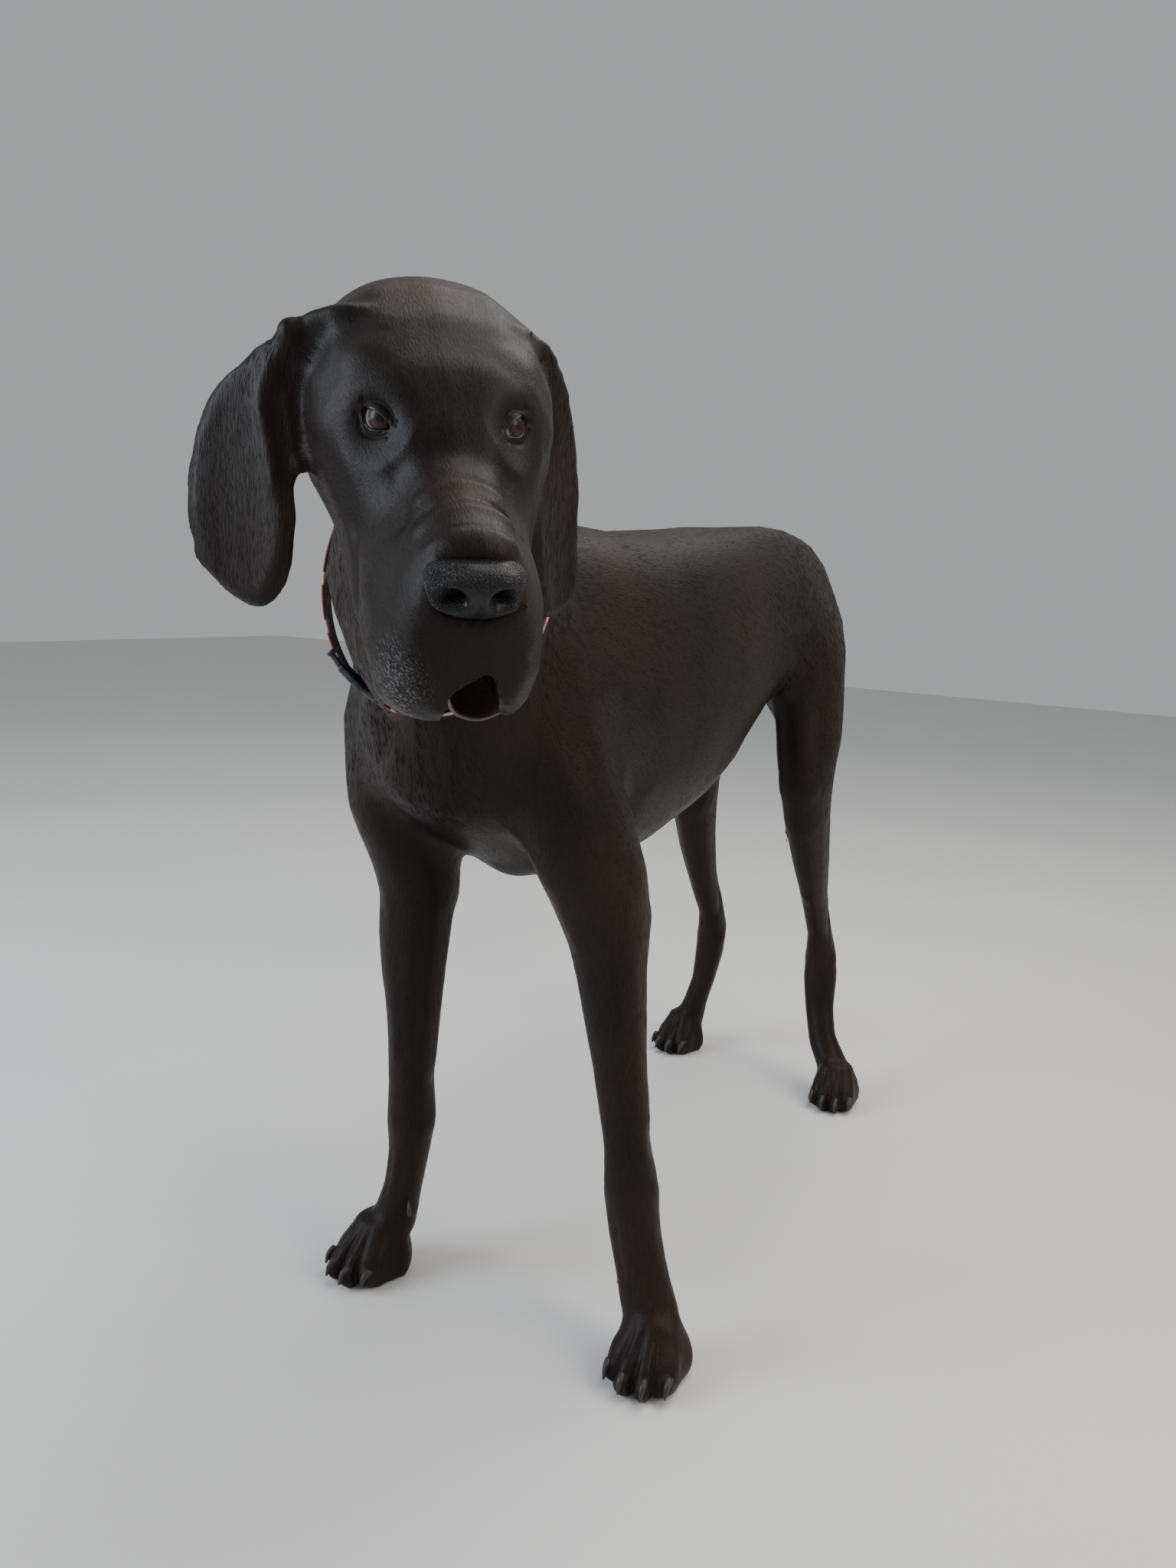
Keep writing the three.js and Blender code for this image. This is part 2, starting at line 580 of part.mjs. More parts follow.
// Soles are cut flat, and the mouth, eye sockets, claw beds and collar groove are cut out
flesh = flesh.subtract(block([-700, -900, -60], [700, 900, 0], 0));
flesh = flesh.subtract(jaw(1.2)).subtract(mouthOpening());
flesh = flesh.subtract(collarBand(GAP)).subtract(buckle(GAP)).subtract(ring(GAP));
addNode("jaw", jaw(0), COAT);
for (const [name, side] of [["eye_right", -1], ["eye_left", 1]]) {
  addNode(name, eyeBall(side, EYE_RADIUS), EYE);
  flesh = flesh.subtract(eyeBall(side, EYE_RADIUS + GAP).add(orbit(side)));
}
for (const [leg, paw] of Object.entries(PAWS)) {
  const size = paw.fore ? FORE_PAW : HIND_PAW;
  TOES.forEach((place, n) => {
    addNode(`claw_${leg}_${n + 1}`, onPaw(paw, claw(size, place, 0)), HORN);
    flesh = flesh.subtract(onPaw(paw, claw(size, place, GAP)));
  });
  if (paw.fore) {
    addNode(`dewclaw_${leg}`, onPaw(paw, dewclaw(paw, 0)), HORN);
    flesh = flesh.subtract(onPaw(paw, dewclaw(paw, GAP)));
  }
}
const headGrown = skull(GAP);
const neckWhole = solid(neck());
for (const [side, leaf] of Object.entries(EARS)) {
  addNode(`ear_${side}`, largest(ear(leaf).subtract(headGrown).subtract(neckWhole)), COAT);
}

// Legs, from the floor up
for (const [leg, { at, fore }] of Object.entries(PAWS)) {
  const [x, y] = at;
  const heights = fore ? [-1, FORE_PAW_CUT, CARPUS_CUT, ELBOW_CUT] : [-1, HIND_PAW_CUT, HOCK_CUT, KNEE_CUT];
  const names = fore ? ["paw", "pastern", "forearm"] : ["paw", "hock", "lower_leg"];
  names.forEach((name, n) => {
    const low = [x > 0 ? 20 : -260, y - 180, heights[n]];
    const high = [x > 0 ? 260 : -20, y + 160, heights[n + 1]];
    part(`${name}_${leg}`, (margin) => block(low, high, margin));
  });
}
const upperArm = { y: -345, z: 590, radius: [100, 96], foot: [-428, -236, ELBOW_CUT] };
const thigh = { y: 296, z: 618, radius: [104, 112], foot: [186, 352, KNEE_CUT] };
part("upper_arm_fr", (margin) => limbRegion({ ...upperArm, inner: -84, side: -1 }, margin));
part("upper_arm_fl", (margin) => limbRegion({ ...upperArm, inner: 6, side: 1 }, margin));
part("thigh_hl", (margin) => limbRegion({ ...thigh, inner: 32, side: 1 }, margin));
part("thigh_hr", (margin) => limbRegion({ ...thigh, y: 306, inner: -28, side: -1 }, margin));

// Head, neck, trunk and tail
part("nose", nosePad, NOSE);
part("head", headRegion);
part("neck", neckRegion);
part("chest", (margin) => block([-300, -700, 300], [300, LOIN_CUT, 1000], margin));
part("belly", (margin) => block([-300, LOIN_CUT, 300], [300, RUMP_CUT, 1000], margin));
part("tail_tip", (margin) => block([-60, 400, 300], [60, 600, TAIL_CUT], margin));
part("tail_base", (margin) => block([-60, 424, TAIL_CUT], [60, 600, 900], margin));
addNode("rump", largest(flesh), COAT);

addNode("collar", collarBand(0).subtract(buckle(GAP)), WEBBING);
addNode("buckle", buckle(0), BUCKLE);
addNode("collar_ring", ring(0), STEEL);

// The model stands on the middle of its own floor area
const group = new THREE.Group();
group.add(...nodes);
const box = new THREE.Box3().setFromObject(group);
group.position.set(-(box.min.x + box.max.x) / 2, -(box.min.y + box.max.y) / 2, -box.min.z);
export default group;
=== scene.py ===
import json
import math

import bmesh
import bpy
import numpy as np
from mathutils import Matrix, Vector
from mathutils.bvhtree import BVHTree


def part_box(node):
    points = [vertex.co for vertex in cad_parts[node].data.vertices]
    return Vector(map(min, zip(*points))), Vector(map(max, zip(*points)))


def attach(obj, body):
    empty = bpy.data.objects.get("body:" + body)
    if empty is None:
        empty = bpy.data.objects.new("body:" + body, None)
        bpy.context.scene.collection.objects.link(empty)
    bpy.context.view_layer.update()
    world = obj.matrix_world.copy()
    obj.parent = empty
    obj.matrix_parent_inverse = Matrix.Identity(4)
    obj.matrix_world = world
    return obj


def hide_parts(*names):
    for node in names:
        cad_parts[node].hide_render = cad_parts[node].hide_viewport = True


bl_info = {
    "name": "Standing Great Dane",
    "version": (1, 0, 0),
    "blender": (4, 5, 0),
    "location": "View3D > Sidebar > Great Dane",
    "description": "Skin, short coat, eyes, nose, claws and collar of a life-size standing great dane",
    "category": "Object",
}

# The dog faces -Y, its left is +X, up is +Z. Metres.
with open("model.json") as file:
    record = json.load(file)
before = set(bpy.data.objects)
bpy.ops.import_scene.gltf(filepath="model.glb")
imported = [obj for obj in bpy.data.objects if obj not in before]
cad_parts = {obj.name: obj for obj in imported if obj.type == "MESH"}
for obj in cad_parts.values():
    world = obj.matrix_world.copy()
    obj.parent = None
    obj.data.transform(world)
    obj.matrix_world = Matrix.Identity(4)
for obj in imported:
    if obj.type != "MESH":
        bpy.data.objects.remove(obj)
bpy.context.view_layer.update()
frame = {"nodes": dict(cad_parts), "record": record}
MM = 0.001
# The dog's right and its left
SIDES = (-1, 1)
EYES = ("eye_right", "eye_left")
LEGS = ("fl", "fr", "hl", "hr")

SLOT_OF = {part["node"]: part["material_slot"] for part in frame["record"]["subparts"]}
FLESH = sorted(node for node, slot in SLOT_OF.items() if slot == "coat")
CLAWS = sorted(node for node, slot in SLOT_OF.items() if slot == "claw")
BOXES = {node: tuple(np.array(corner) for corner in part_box(node)) for node in SLOT_OF}


def middle(node):
    """The middle of a CAD node's box."""
    low, high = BOXES[node]
    return (low + high) / 2


# The head's own frame: its x to the dog's left, y to the back of the skull, z up through the brow.
HEAD_YAW = math.radians(45)
HEAD_PITCH = math.radians(28)
HEAD_ROLL = math.radians(-2)
EYES_IN_HEAD = np.array([0.0, -18.0, 11.0]) * MM
HEAD_FACES = Matrix.Rotation(HEAD_YAW, 3, "Z") @ Matrix.Rotation(HEAD_PITCH, 3, "X")
HEAD_TURN = np.array(HEAD_FACES @ Matrix.Rotation(HEAD_ROLL, 3, "Y"))
EYE_SPAN_AT = sum(middle(eye) for eye in EYES) / 2
HEAD_AT = EYE_SPAN_AT - HEAD_TURN @ EYES_IN_HEAD
HEAD_REACH = 260 * MM
EYE_RADIUS = 12 * MM
# The way the left lids face, and what turns the eyes from there
LIDS_FACE = np.array([0.62, -0.70, 0.36])
EYES_TURN = np.array([0.26, 0.0, 0.10])


def to_head(points):
    """World places in the head's frame, in millimetres."""
    return (points - HEAD_AT) @ HEAD_TURN / MM


def from_head(points):
    """Places in the head's frame, in millimetres, as world places."""
    return np.asarray(points, float) * MM @ HEAD_TURN.T + HEAD_AT


def turn_from_head(directions):
    return np.asarray(directions, float) @ HEAD_TURN.T


def mirrored(side):
    """What turns a place on the dog's left into the same one on a side, where -1 is its right."""
    return np.array([side, 1, 1])


def ramp(value, start, end):
    """0 before start, 1 after end, and smooth between them."""
    t = np.clip((value - start) / (end - start), 0, 1)
    return t * t * (3 - 2 * t)


# Meshes as arrays

DOUBLES = 0.01 * MM
NEARLY_ZERO = 1e-12


def rows_of(items, what, width, kind=float):
    """One property of a mesh's items as rows of numbers."""
    values = np.empty(len(items) * width, kind)
    items.foreach_get(what, values)
    return values.reshape(-1, width)


def mesh_points(mesh):
    return rows_of(mesh.vertices, "co", 3)


def mesh_edges(mesh):
    return rows_of(mesh.edges, "vertices", 2, np.int64)


def mesh_triangles(mesh, what="vertices"):
    mesh.calc_loop_triangles()
    return rows_of(mesh.loop_triangles, what, 3, np.int64)


def set_points(mesh, points):
    mesh.vertices.foreach_set("co", points.ravel())
    mesh.update()


def node_arrays(node):
    """A CAD node's corner points, with doubles merged, and its triangles."""
    mesh = frame["nodes"][node].data
    points = mesh_points(mesh)
    _, first, merged = np.unique(np.round(points / DOUBLES), axis=0, return_index=True, return_inverse=True)
    return points[first], merged.ravel()[mesh_triangles(mesh)]


def unit(way):
    return way / np.linalg.norm(way)


def unit_rows(ways):
    """Each row as a way of length one, along the last axis."""
    return ways / np.maximum(np.linalg.norm(ways, axis=-1, keepdims=True), NEARLY_ZERO)


def point_normals(points, triangles):
    """The outward way at each point, from the faces round it."""
    a, b, c = (points[triangles[:, k]] for k in range(3))
    face = np.cross(b - a, c - a)
    normals = np.zeros_like(points)
    for k in range(3):
        for axis in range(3):
            normals[:, axis] += np.bincount(triangles[:, k], weights=face[:, axis], minlength=len(points))
    return unit_rows(normals)


def neighbour_mean(values, edges, count):
    """Each point's mean over the points that it shares an edge with."""
    total = np.empty_like(values)
    for axis in range(values.shape[1]):
        column = values[:, axis]
        total[:, axis] = np.bincount(edges[:, 0], weights=column[edges[:, 1]], minlength=len(values))
        total[:, axis] += np.bincount(edges[:, 1], weights=column[edges[:, 0]], minlength=len(values))
    return total / count


def smoothed(values, edges, strength, rounds):
    """Values evened out over the surface. The strength is from 0 to 1 at each point."""
    count = np.bincount(edges.ravel(), minlength=len(values))[:, None].astype(float)
    held = (0.5 * strength)[:, None]
    for _ in range(rounds):
        values = values + held * (neighbour_mean(values, edges, count) - values)
    return values


def full_smooth(points, edges, strength, rounds):
    """Smooths the form and gives back the bulk that smoothing takes away."""
    soft = smoothed(points, edges, strength, rounds)
    return soft + smoothed(points - soft, edges, strength, rounds)


def surface_tree(points, triangles):
    """A tree for finding the nearest place on a surface and where a ray meets it."""
    return BVHTree.FromPolygons(points.tolist(), triangles.tolist())


def new_object(name, mesh, smooth=True):
    """An object of a mesh, in the scene."""
    obj = bpy.data.objects.new(name, mesh)
    bpy.context.scene.collection.objects.link(obj)
    if smooth:
        mesh.shade_smooth()
    return obj


def mesh_from(name, points, faces):
    """A mesh of corners and faces given one by one."""
    mesh = bpy.data.meshes.new(name)
    mesh.from_pydata([tuple(p) for p in points], [], [tuple(int(i) for i in f) for f in faces])
    mesh.update()
    return mesh


def with_modifier(obj, kind, **settings):
    """Adds one modifier to the object and makes its result the object's own mesh."""
    modifier = obj.modifiers.new(kind.lower(), kind)
    for name, value in settings.items():
        setattr(modifier, name, value)
    graph = bpy.context.evaluated_depsgraph_get()
    made = bpy.data.meshes.new_from_object(obj.evaluated_get(graph))
    obj.modifiers.clear()
    old = obj.data
    obj.data = made
    bpy.data.meshes.remove(old)
    return obj


def mesh_of(name, shape):
    """A mesh from a bmesh, which is then given up."""
    mesh = bpy.data.meshes.new(name)
    shape.to_mesh(mesh)
    shape.free()
    return mesh


def outward(obj):
    """Turns all of an object's faces outward."""
    shape = bmesh.new()
    shape.from_mesh(obj.data)
    bmesh.ops.recalc_face_normals(shape, faces=shape.faces)
    shape.to_mesh(obj.data)
    shape.free()
    return obj


def turns(count):
    """Even angles once round a circle."""
    return np.arange(count) * (2 * math.pi / count)


def ring_faces(rings, sides, closed=False, start=0):
    """The faces between rings of corners, each ring with the same number of sides."""
    faces = []
    for ring in range(rings if closed else rings - 1):
        here, there = start + ring * sides, start + (ring + 1) % rings * sides
        for k in range(sides):
            n = (k + 1) % sides
            faces.append((here + k, there + k, there + n, here + n))
    return faces


def end_faces(count, sides):
    """The first and the last ring of all the corners, each closed with one face."""
    return [tuple(range(sides)), tuple(reversed(range(count - sides, count)))]


# The skin

VOXEL = 4.8 * MM
# How far the flesh swells so that its cuts close
GAP_CLOSING = 0.6 * MM
# The ears swell further, so that the voxels hold their leaves, and go in again to no less than the least
EAR_PADDING = 4.0 * MM
EAR_LEAST = 2.4 * MM
EAR_REACH = 5 * MM
EAR_EDGE = (0.1, 0.5)
EAR_ROUNDS = 26
RAY_START = 0.5 * MM
RAY_LENGTH = 30 * MM
# Where the ears' leaves hang clear of the skull, as distances to the side in the head's frame
EAR_CLEAR = (52, 68)
EAR_ROOT = np.array([62.0, 52.0, 30.0])
EAR_ROOT_REACH = (22.0, 40.0)
# Where the head ends: behind the skull in its own frame, and as distances from its middle
NAPE = (70, 120)
HEAD_ENDS = (240 * MM, 300 * MM)
# Heights between which a paw turns into a leg and a leg into the trunk, and where the tail starts
PAW_TOP = (55 * MM, 85 * MM)
LEG_TOP = (400 * MM, 560 * MM)
TAIL_START = (588 * MM, 608 * MM)
FORM_ROUNDS = 110
# How much of the smoothing each region takes
SMOOTHING = {"trunk": 1.0, "leg": 0.1, "head": 0.05, "paw": 0.03, "tail": 0.03}
COAT_DEPTH = {"body": 1.5 * MM, "head": 1.0 * MM, "paw": 0.7 * MM}
TRUNK_FACES_KEPT = 0.5
SKIN_TRIANGLES = 192000


def joined_flesh():
    """The flesh nodes as one closed form, without the gaps between them."""
    points, faces, start = [], [], 0
    for node in FLESH:
        corners, triangles = node_arrays(node)
        growth = EAR_PADDING if node.startswith("ear") else GAP_CLOSING
        points.append(corners + point_normals(corners, triangles) * growth)
        faces.append(triangles + start)
        start += len(corners)
    form = new_object("form", mesh_from("form", np.vstack(points), np.vstack(faces)))
    return with_modifier(form, "REMESH", mode="VOXEL", voxel_size=VOXEL)


def head_share(points):
    """1 on the head and ears, 0 on the rest, soft over the top of the neck."""
    local = to_head(points)
    near = 1 - ramp(np.linalg.norm(points - HEAD_AT, axis=1), *HEAD_ENDS)
    return (1 - ramp(local[:, 1], *NAPE)) * near


def ear_share(points):
    """1 on the hanging leaf of each ear, 0 where it joins the head."""
    share = np.zeros(len(points))
    for node in ("ear_right", "ear_left"):
        tree = surface_tree(*node_arrays(node))
        low, high = BOXES[node]
        nearby = np.nonzero(((points > low - EAR_REACH) & (points < high + EAR_REACH)).all(axis=1))[0]
        for index in nearby:
            distance = tree.find_nearest(points[index])[3]
            share[index] = max(share[index], 1 - distance / EAR_REACH)
    return ramp(share, *EAR_EDGE) * ramp(np.abs(to_head(points)[:, 0]), *EAR_CLEAR)


def ear_root_share(points):
    """1 where an ear grows out of the skull."""
    local = to_head(points)
    near = [np.linalg.norm(local - EAR_ROOT * mirrored(side), axis=1) for side in SIDES]
    return 1 - ramp(np.minimum(*near), *EAR_ROOT_REACH)


def ear_depths(points, normals, triangles, ear):
    """How far each point of an ear goes in, so that its leaf keeps its least thickness."""
    tree = surface_tree(points, triangles)
    depths = np.full(len(points), EAR_PADDING)
    for index in np.nonzero(ear > 0)[0]:
        way = Vector(-normals[index])
        found = tree.ray_cast(Vector(points[index]) + way * RAY_START, way, RAY_LENGTH)
        if found[0] is not None:
            depths[index] = min(EAR_PADDING, max(0.0, (found[3] + RAY_START - EAR_LEAST) / 2))
    return depths


def region_shares(points):
    """How much of each region a point belongs to: head, paw, leg and trunk."""
    head = head_share(points)
    paw = 1 - ramp(points[:, 2], *PAW_TOP)
    leg = (1 - ramp(points[:, 2], *LEG_TOP)) * (1 - paw)
    trunk = np.clip(1 - head - paw - leg, 0, 1)
    return head, paw, leg, trunk


def tail_share(points):
    """1 on the tail behind the rump, where smoothing would wear it away."""
    return ramp(points[:, 1], *TAIL_START)


def fewer_where(form, share, kept):
    """Keeps a part of the form's faces, and takes the others from where the share is high, in tenths."""
    group = form.vertex_groups.new(name="thinned")
    levels = np.round(share * 10).astype(int)
    for level in range(1, 11):
        chosen = np.nonzero(levels == level)[0].tolist()
        if chosen:
            group.add(chosen, level / 10, "REPLACE")
    with_modifier(form, "DECIMATE", ratio=kept, vertex_group="thinned", use_collapse_triangulate=True)
    form.vertex_groups.clear()


def no_more_than(form, most):
    """Takes triangles out of the head and legs until the whole form has no more than the most."""
    count = len(mesh_triangles(form.data))
    if count > most:
        off_trunk = region_shares(mesh_points(form.data))[3] < 0.5
        fewer_where(form, off_trunk.astype(float), most / count)


def finer(form, wanted):
    """Cuts each face in four where wanted(points) is over a half, and leaves the rest."""
    shape = bmesh.new()
    shape.from_mesh(form.data)
    shape.edges.ensure_lookup_table()
    inside = wanted(mesh_points(form.data)) > 0.5
    edges = [edge for edge in shape.edges if inside[edge.verts[0].index] and inside[edge.verts[1].index]]
    bmesh.ops.subdivide_edges(shape, edges=edges, cuts=1, use_grid_fill=True, smooth=0)
    bmesh.ops.triangulate(shape, faces=[face for face in shape.faces if len(face.verts) > 4])
    shape.to_mesh(form.data)
    shape.free()
    form.data.update()


# Strokes on the skin, in millimetres


def line_distance(points, line):
    """Each point's distance from a line of straight stretches, and its place along the line, 0 to 1."""
    line = np.asarray(line, float)
    steps = np.linalg.norm(np.diff(line, axis=0), axis=1)
    before = np.concatenate([[0], np.cumsum(steps)])
    best = np.full(len(points), np.inf)
    along = np.zeros(len(points))
    for k, step in enumerate(steps):
        way = (line[k + 1] - line[k]) / step
        reach = np.clip((points - line[k]) @ way, 0, step)
        distance = np.linalg.norm(points - line[k] - reach[:, None] * way, axis=1)
        nearer = distance < best
        best = np.where(nearer, distance, best)
        along = np.where(nearer, (before[k] + reach) / before[-1], along)
    return best, along


def curve_through(line, count=24):
    """A smooth curve through the points of a line."""
    line = np.asarray(line, float)
    padded = np.vstack([2 * line[0] - line[1], line, 2 * line[-1] - line[-2]])
    points = []
    for share in np.linspace(0, len(line) - 1, count):
        k = min(int(share), len(line) - 2)
        t = share - k
        a, b, c, d = padded[k : k + 4]
        bend = (2 * a - 5 * b + 4 * c - d) * t * t + (3 * b - a - 3 * c + d) * t**3
        points.append(0.5 * (2 * b + (c - a) * t + bend))
    return np.array(points)


class Clay:
    """Points of a form in a frame of millimetres, pushed along their normals by strokes."""

    def __init__(self, points, normals):
        self.points, self.normals = points, normals
        self.rise = np.zeros(len(points))

    def swell(self, centre, radii, height):
        """A rounded rise, or a hollow where the height is under zero."""
        centre, radii = np.asarray(centre, float), np.asarray(radii, float)
        near = (np.abs(self.points - centre) < radii).all(axis=1)
        share = np.linalg.norm((self.points[near] - centre) / radii, axis=1)
        self.rise[near] += height * (1 - ramp(share, 0.0, 1.0))

    def crease(self, line, width, depth, fade=0.18):
        """A groove along a curve, or a ridge where the depth is under zero, that fades at both ends."""
        curve = curve_through(line)
        reach = 3 * width
        near = ((self.points > curve.min(0) - reach) & (self.points < curve.max(0) + reach)).all(axis=1)
        distance, along = line_distance(self.points[near], curve)
        ends = ramp(along, 0, fade) * (1 - ramp(along, 1 - fade, 1))
        self.rise[near] -= depth * ends * np.exp(-((distance / width) ** 2))

    def both(self, stroke, place, *rest):
        """The same stroke on the right and on the left."""
        for side in SIDES:
            getattr(self, stroke)(np.asarray(place, float) * mirrored(side), *rest)

    def worked(self):
        """The points after all the strokes."""
        return self.points + self.normals * self.rise[:, None]


# The lids, in millimetres in the frame of each eye's gaze: x away from the muzzle, y up, z out of the face

LID_THICK = 1.2
# How far off the gaze the lids follow the ball, and where they have run out into the face
LID_DOME = 8.0
LID_LEAVES_BALL = 5.0
LID_MEETS_FACE = 30.0
# How far above an opening's edge a fold lies, its width, its depth and how far it reaches to each side
LID_CREASE = (4.2, 1.5, 1.3, 14)
LID_BAG = (-4.0, 1.5, 0.9, 13)
LID_ROUNDS = 120
EYE_FORWARD = 4.5
# The skin round an eye that is worked on: how far out, how far behind the eye's middle, and of that the face
EYE_FIELD_WIDE = 40
EYE_FIELD_DEEP = 15
FACE_DEEP = 9
# How far the skin sinks behind the ball inside the opening, and how near the eye's middle it comes
SUNK = 3.2
SUNK_LEAST = 3.0
# The opening's half width, its two heights, how round its edges are, the lower one's sag, and its tilt
OPENING_HALF = 10.2
OPENING_UP = 3.9
OPENING_DOWN = 6.8
OPENING_ROUND = (0.75, 0.85)
OPENING_SAG = 0.25
OPENING_TILT = math.radians(-14)
# The ring of skin that the new face is fitted to, and the crater that it covers
FACE_RING = (20.0, 33.0)
CRATER = (17.0, 27.0)
BALL = EYE_RADIUS / MM
RIM_STEPS = 72
RIM_LIFT = 0.5


def gaze_turn(side):
    """The lids' ways in the head's frame, as columns: away from the muzzle, up, and out of the face."""
    turn = turn_to(LIDS_FACE * mirrored(side), np.array([0, 0, 1.0]))
    if turn[0, 0] * side < 0:
        turn = turn * np.array([-1, 1, 1])
    return turn


def opening_edge(across):
    """How high the upper lid's edge and the lower lid's edge are, over a place across the eye."""
    share = np.clip(across / OPENING_HALF, -1, 1)
    upper = OPENING_UP * np.power(1 - share**2, OPENING_ROUND[0])
    lower = -OPENING_DOWN * np.power(1 - share**2, OPENING_ROUND[1]) * (1 + OPENING_SAG * share)
    return upper, lower


def tilted(across, up, tilt=OPENING_TILT):
    """Places turned with the opening's tilt, or against it where the tilt is given as its opposite."""
    cos, sin = math.cos(tilt), math.sin(tilt)
    return across * cos - up * sin, across * sin + up * cos


def eye_in_head(side):
    """The middle of the eyeball, a little forward of its solid."""
    return to_head(middle(EYES[SIDES.index(side)])) + EYE_FORWARD * gaze_turn(side)[:, 2]


def face_over(seen, ring):
    """A smooth face over the eye, fitted to the ring of skin round it, as heights along the gaze."""
    x, y = seen[:, 0] / FACE_RING[0], seen[:, 1] / FACE_RING[0]
    terms = np.array([np.ones_like(x), x, y, x * x, x * y, y * y]).T
    return terms @ np.linalg.lstsq(terms[ring], seen[ring, 2], rcond=None)[0]


def set_lids(local, edges):
    """Closes the face over each eye and opens it again between two lids."""
    for side in SIDES:
        turn, centre = gaze_turn(side), eye_in_head(side)
        seen = (local - centre) @ turn
        from_axis = np.hypot(seen[:, 0], seen[:, 1])
        field = (np.linalg.norm(seen, axis=1) < EYE_FIELD_WIDE) & (seen[:, 2] > -EYE_FIELD_DEEP)
        ring = field & (from_axis > FACE_RING[0]) & (from_axis < FACE_RING[1]) & (seen[:, 2] > -FACE_DEEP)
        inner = np.where(field, 1 - ramp(from_axis, *CRATER), 0)
        seen[:, 2] += inner * (face_over(seen, ring) - seen[:, 2])
        seen = smoothed(seen, edges, (inner > 0.02).astype(float), LID_ROUNDS)
        x, y = seen[:, 0], seen[:, 1]
        from_axis = np.hypot(x, y)
        face = seen[:, 2].copy()
        dome = np.sqrt((BALL + LID_THICK) ** 2 - np.minimum(from_axis, LID_DOME) ** 2)
        target = dome + (face - dome) * ramp(from_axis, LID_LEAVES_BALL, LID_MEETS_FACE)
        along, height = tilted(x, y)
        upper, lower = opening_edge(along)
        for edge, (above, width, depth, reach) in ((upper, LID_CREASE), (lower, LID_BAG)):
            target -= depth * np.exp(-(((height - edge - above) / width) ** 2)) * (np.abs(along) < reach)
        opened = (np.abs(along) < OPENING_HALF) & (height < upper) & (height > lower)
        sunk = np.sqrt(np.maximum(BALL**2 - from_axis**2, SUNK_LEAST**2)) - SUNK
        target = np.where(opened, sunk, target)
        placed = field & (from_axis < LID_MEETS_FACE) & (seen[:, 2] > -FACE_DEEP)
        seen[placed, 2] = target[placed]
        local = np.where(field[:, None], seen @ turn.T + centre, local)
    return local


def lid_curve(side):
    """The rim of the opening as places in the head's frame, lifted off the ball."""
    around = turns(RIM_STEPS)
    across = np.cos(around) * OPENING_HALF
    upper, lower = opening_edge(across)
    x, y = tilted(across, np.where(around < math.pi, upper, lower), -OPENING_TILT)
    z = np.sqrt((BALL + RIM_LIFT) ** 2 - x**2 - y**2)
    return np.array([x, y, z]).T @ gaze_turn(side).T + eye_in_head(side)


# The mouth: the edge of the upper lips seen from the front, as x and z in the head's frame

LIP_ARCH = [
    (-12, -92), (-11, -82), (-8, -73), (0, -67), (8, -62), (13, -66), (16, -76), (18, -88), (21, -98),
]
MOUTH_FRONT = (-126.0, -116.0)
MOUTH_DEPTH = 26.0
# How far inside the arch the gap starts, and where it is at its full depth
MOUTH_SLOPE = (-0.4, 3.0)
BELOW_MOUTH = -200
ARCH_STEPS = 40
# The rise of the lips' edge, and where it lies over the share of the gap
LIP_ROLL = 1.6
LIP_ROLL_AT = 0.1
LIP_ROLL_WIDE = 0.2


def mouth_share(local):
    """1 in the gap between the lips, 0 on the lips."""
    arch = curve_through([(x, 0, z) for x, z in LIP_ARCH], ARCH_STEPS)
    heights = np.interp(local[:, 0], arch[:, 0], arch[:, 2], left=BELOW_MOUTH, right=BELOW_MOUTH)
    return ramp(heights - local[:, 2], *MOUTH_SLOPE) * (1 - ramp(local[:, 1], *MOUTH_FRONT))


WHISKER_ROWS = 4
WHISKER_ROW_APART = 9.0


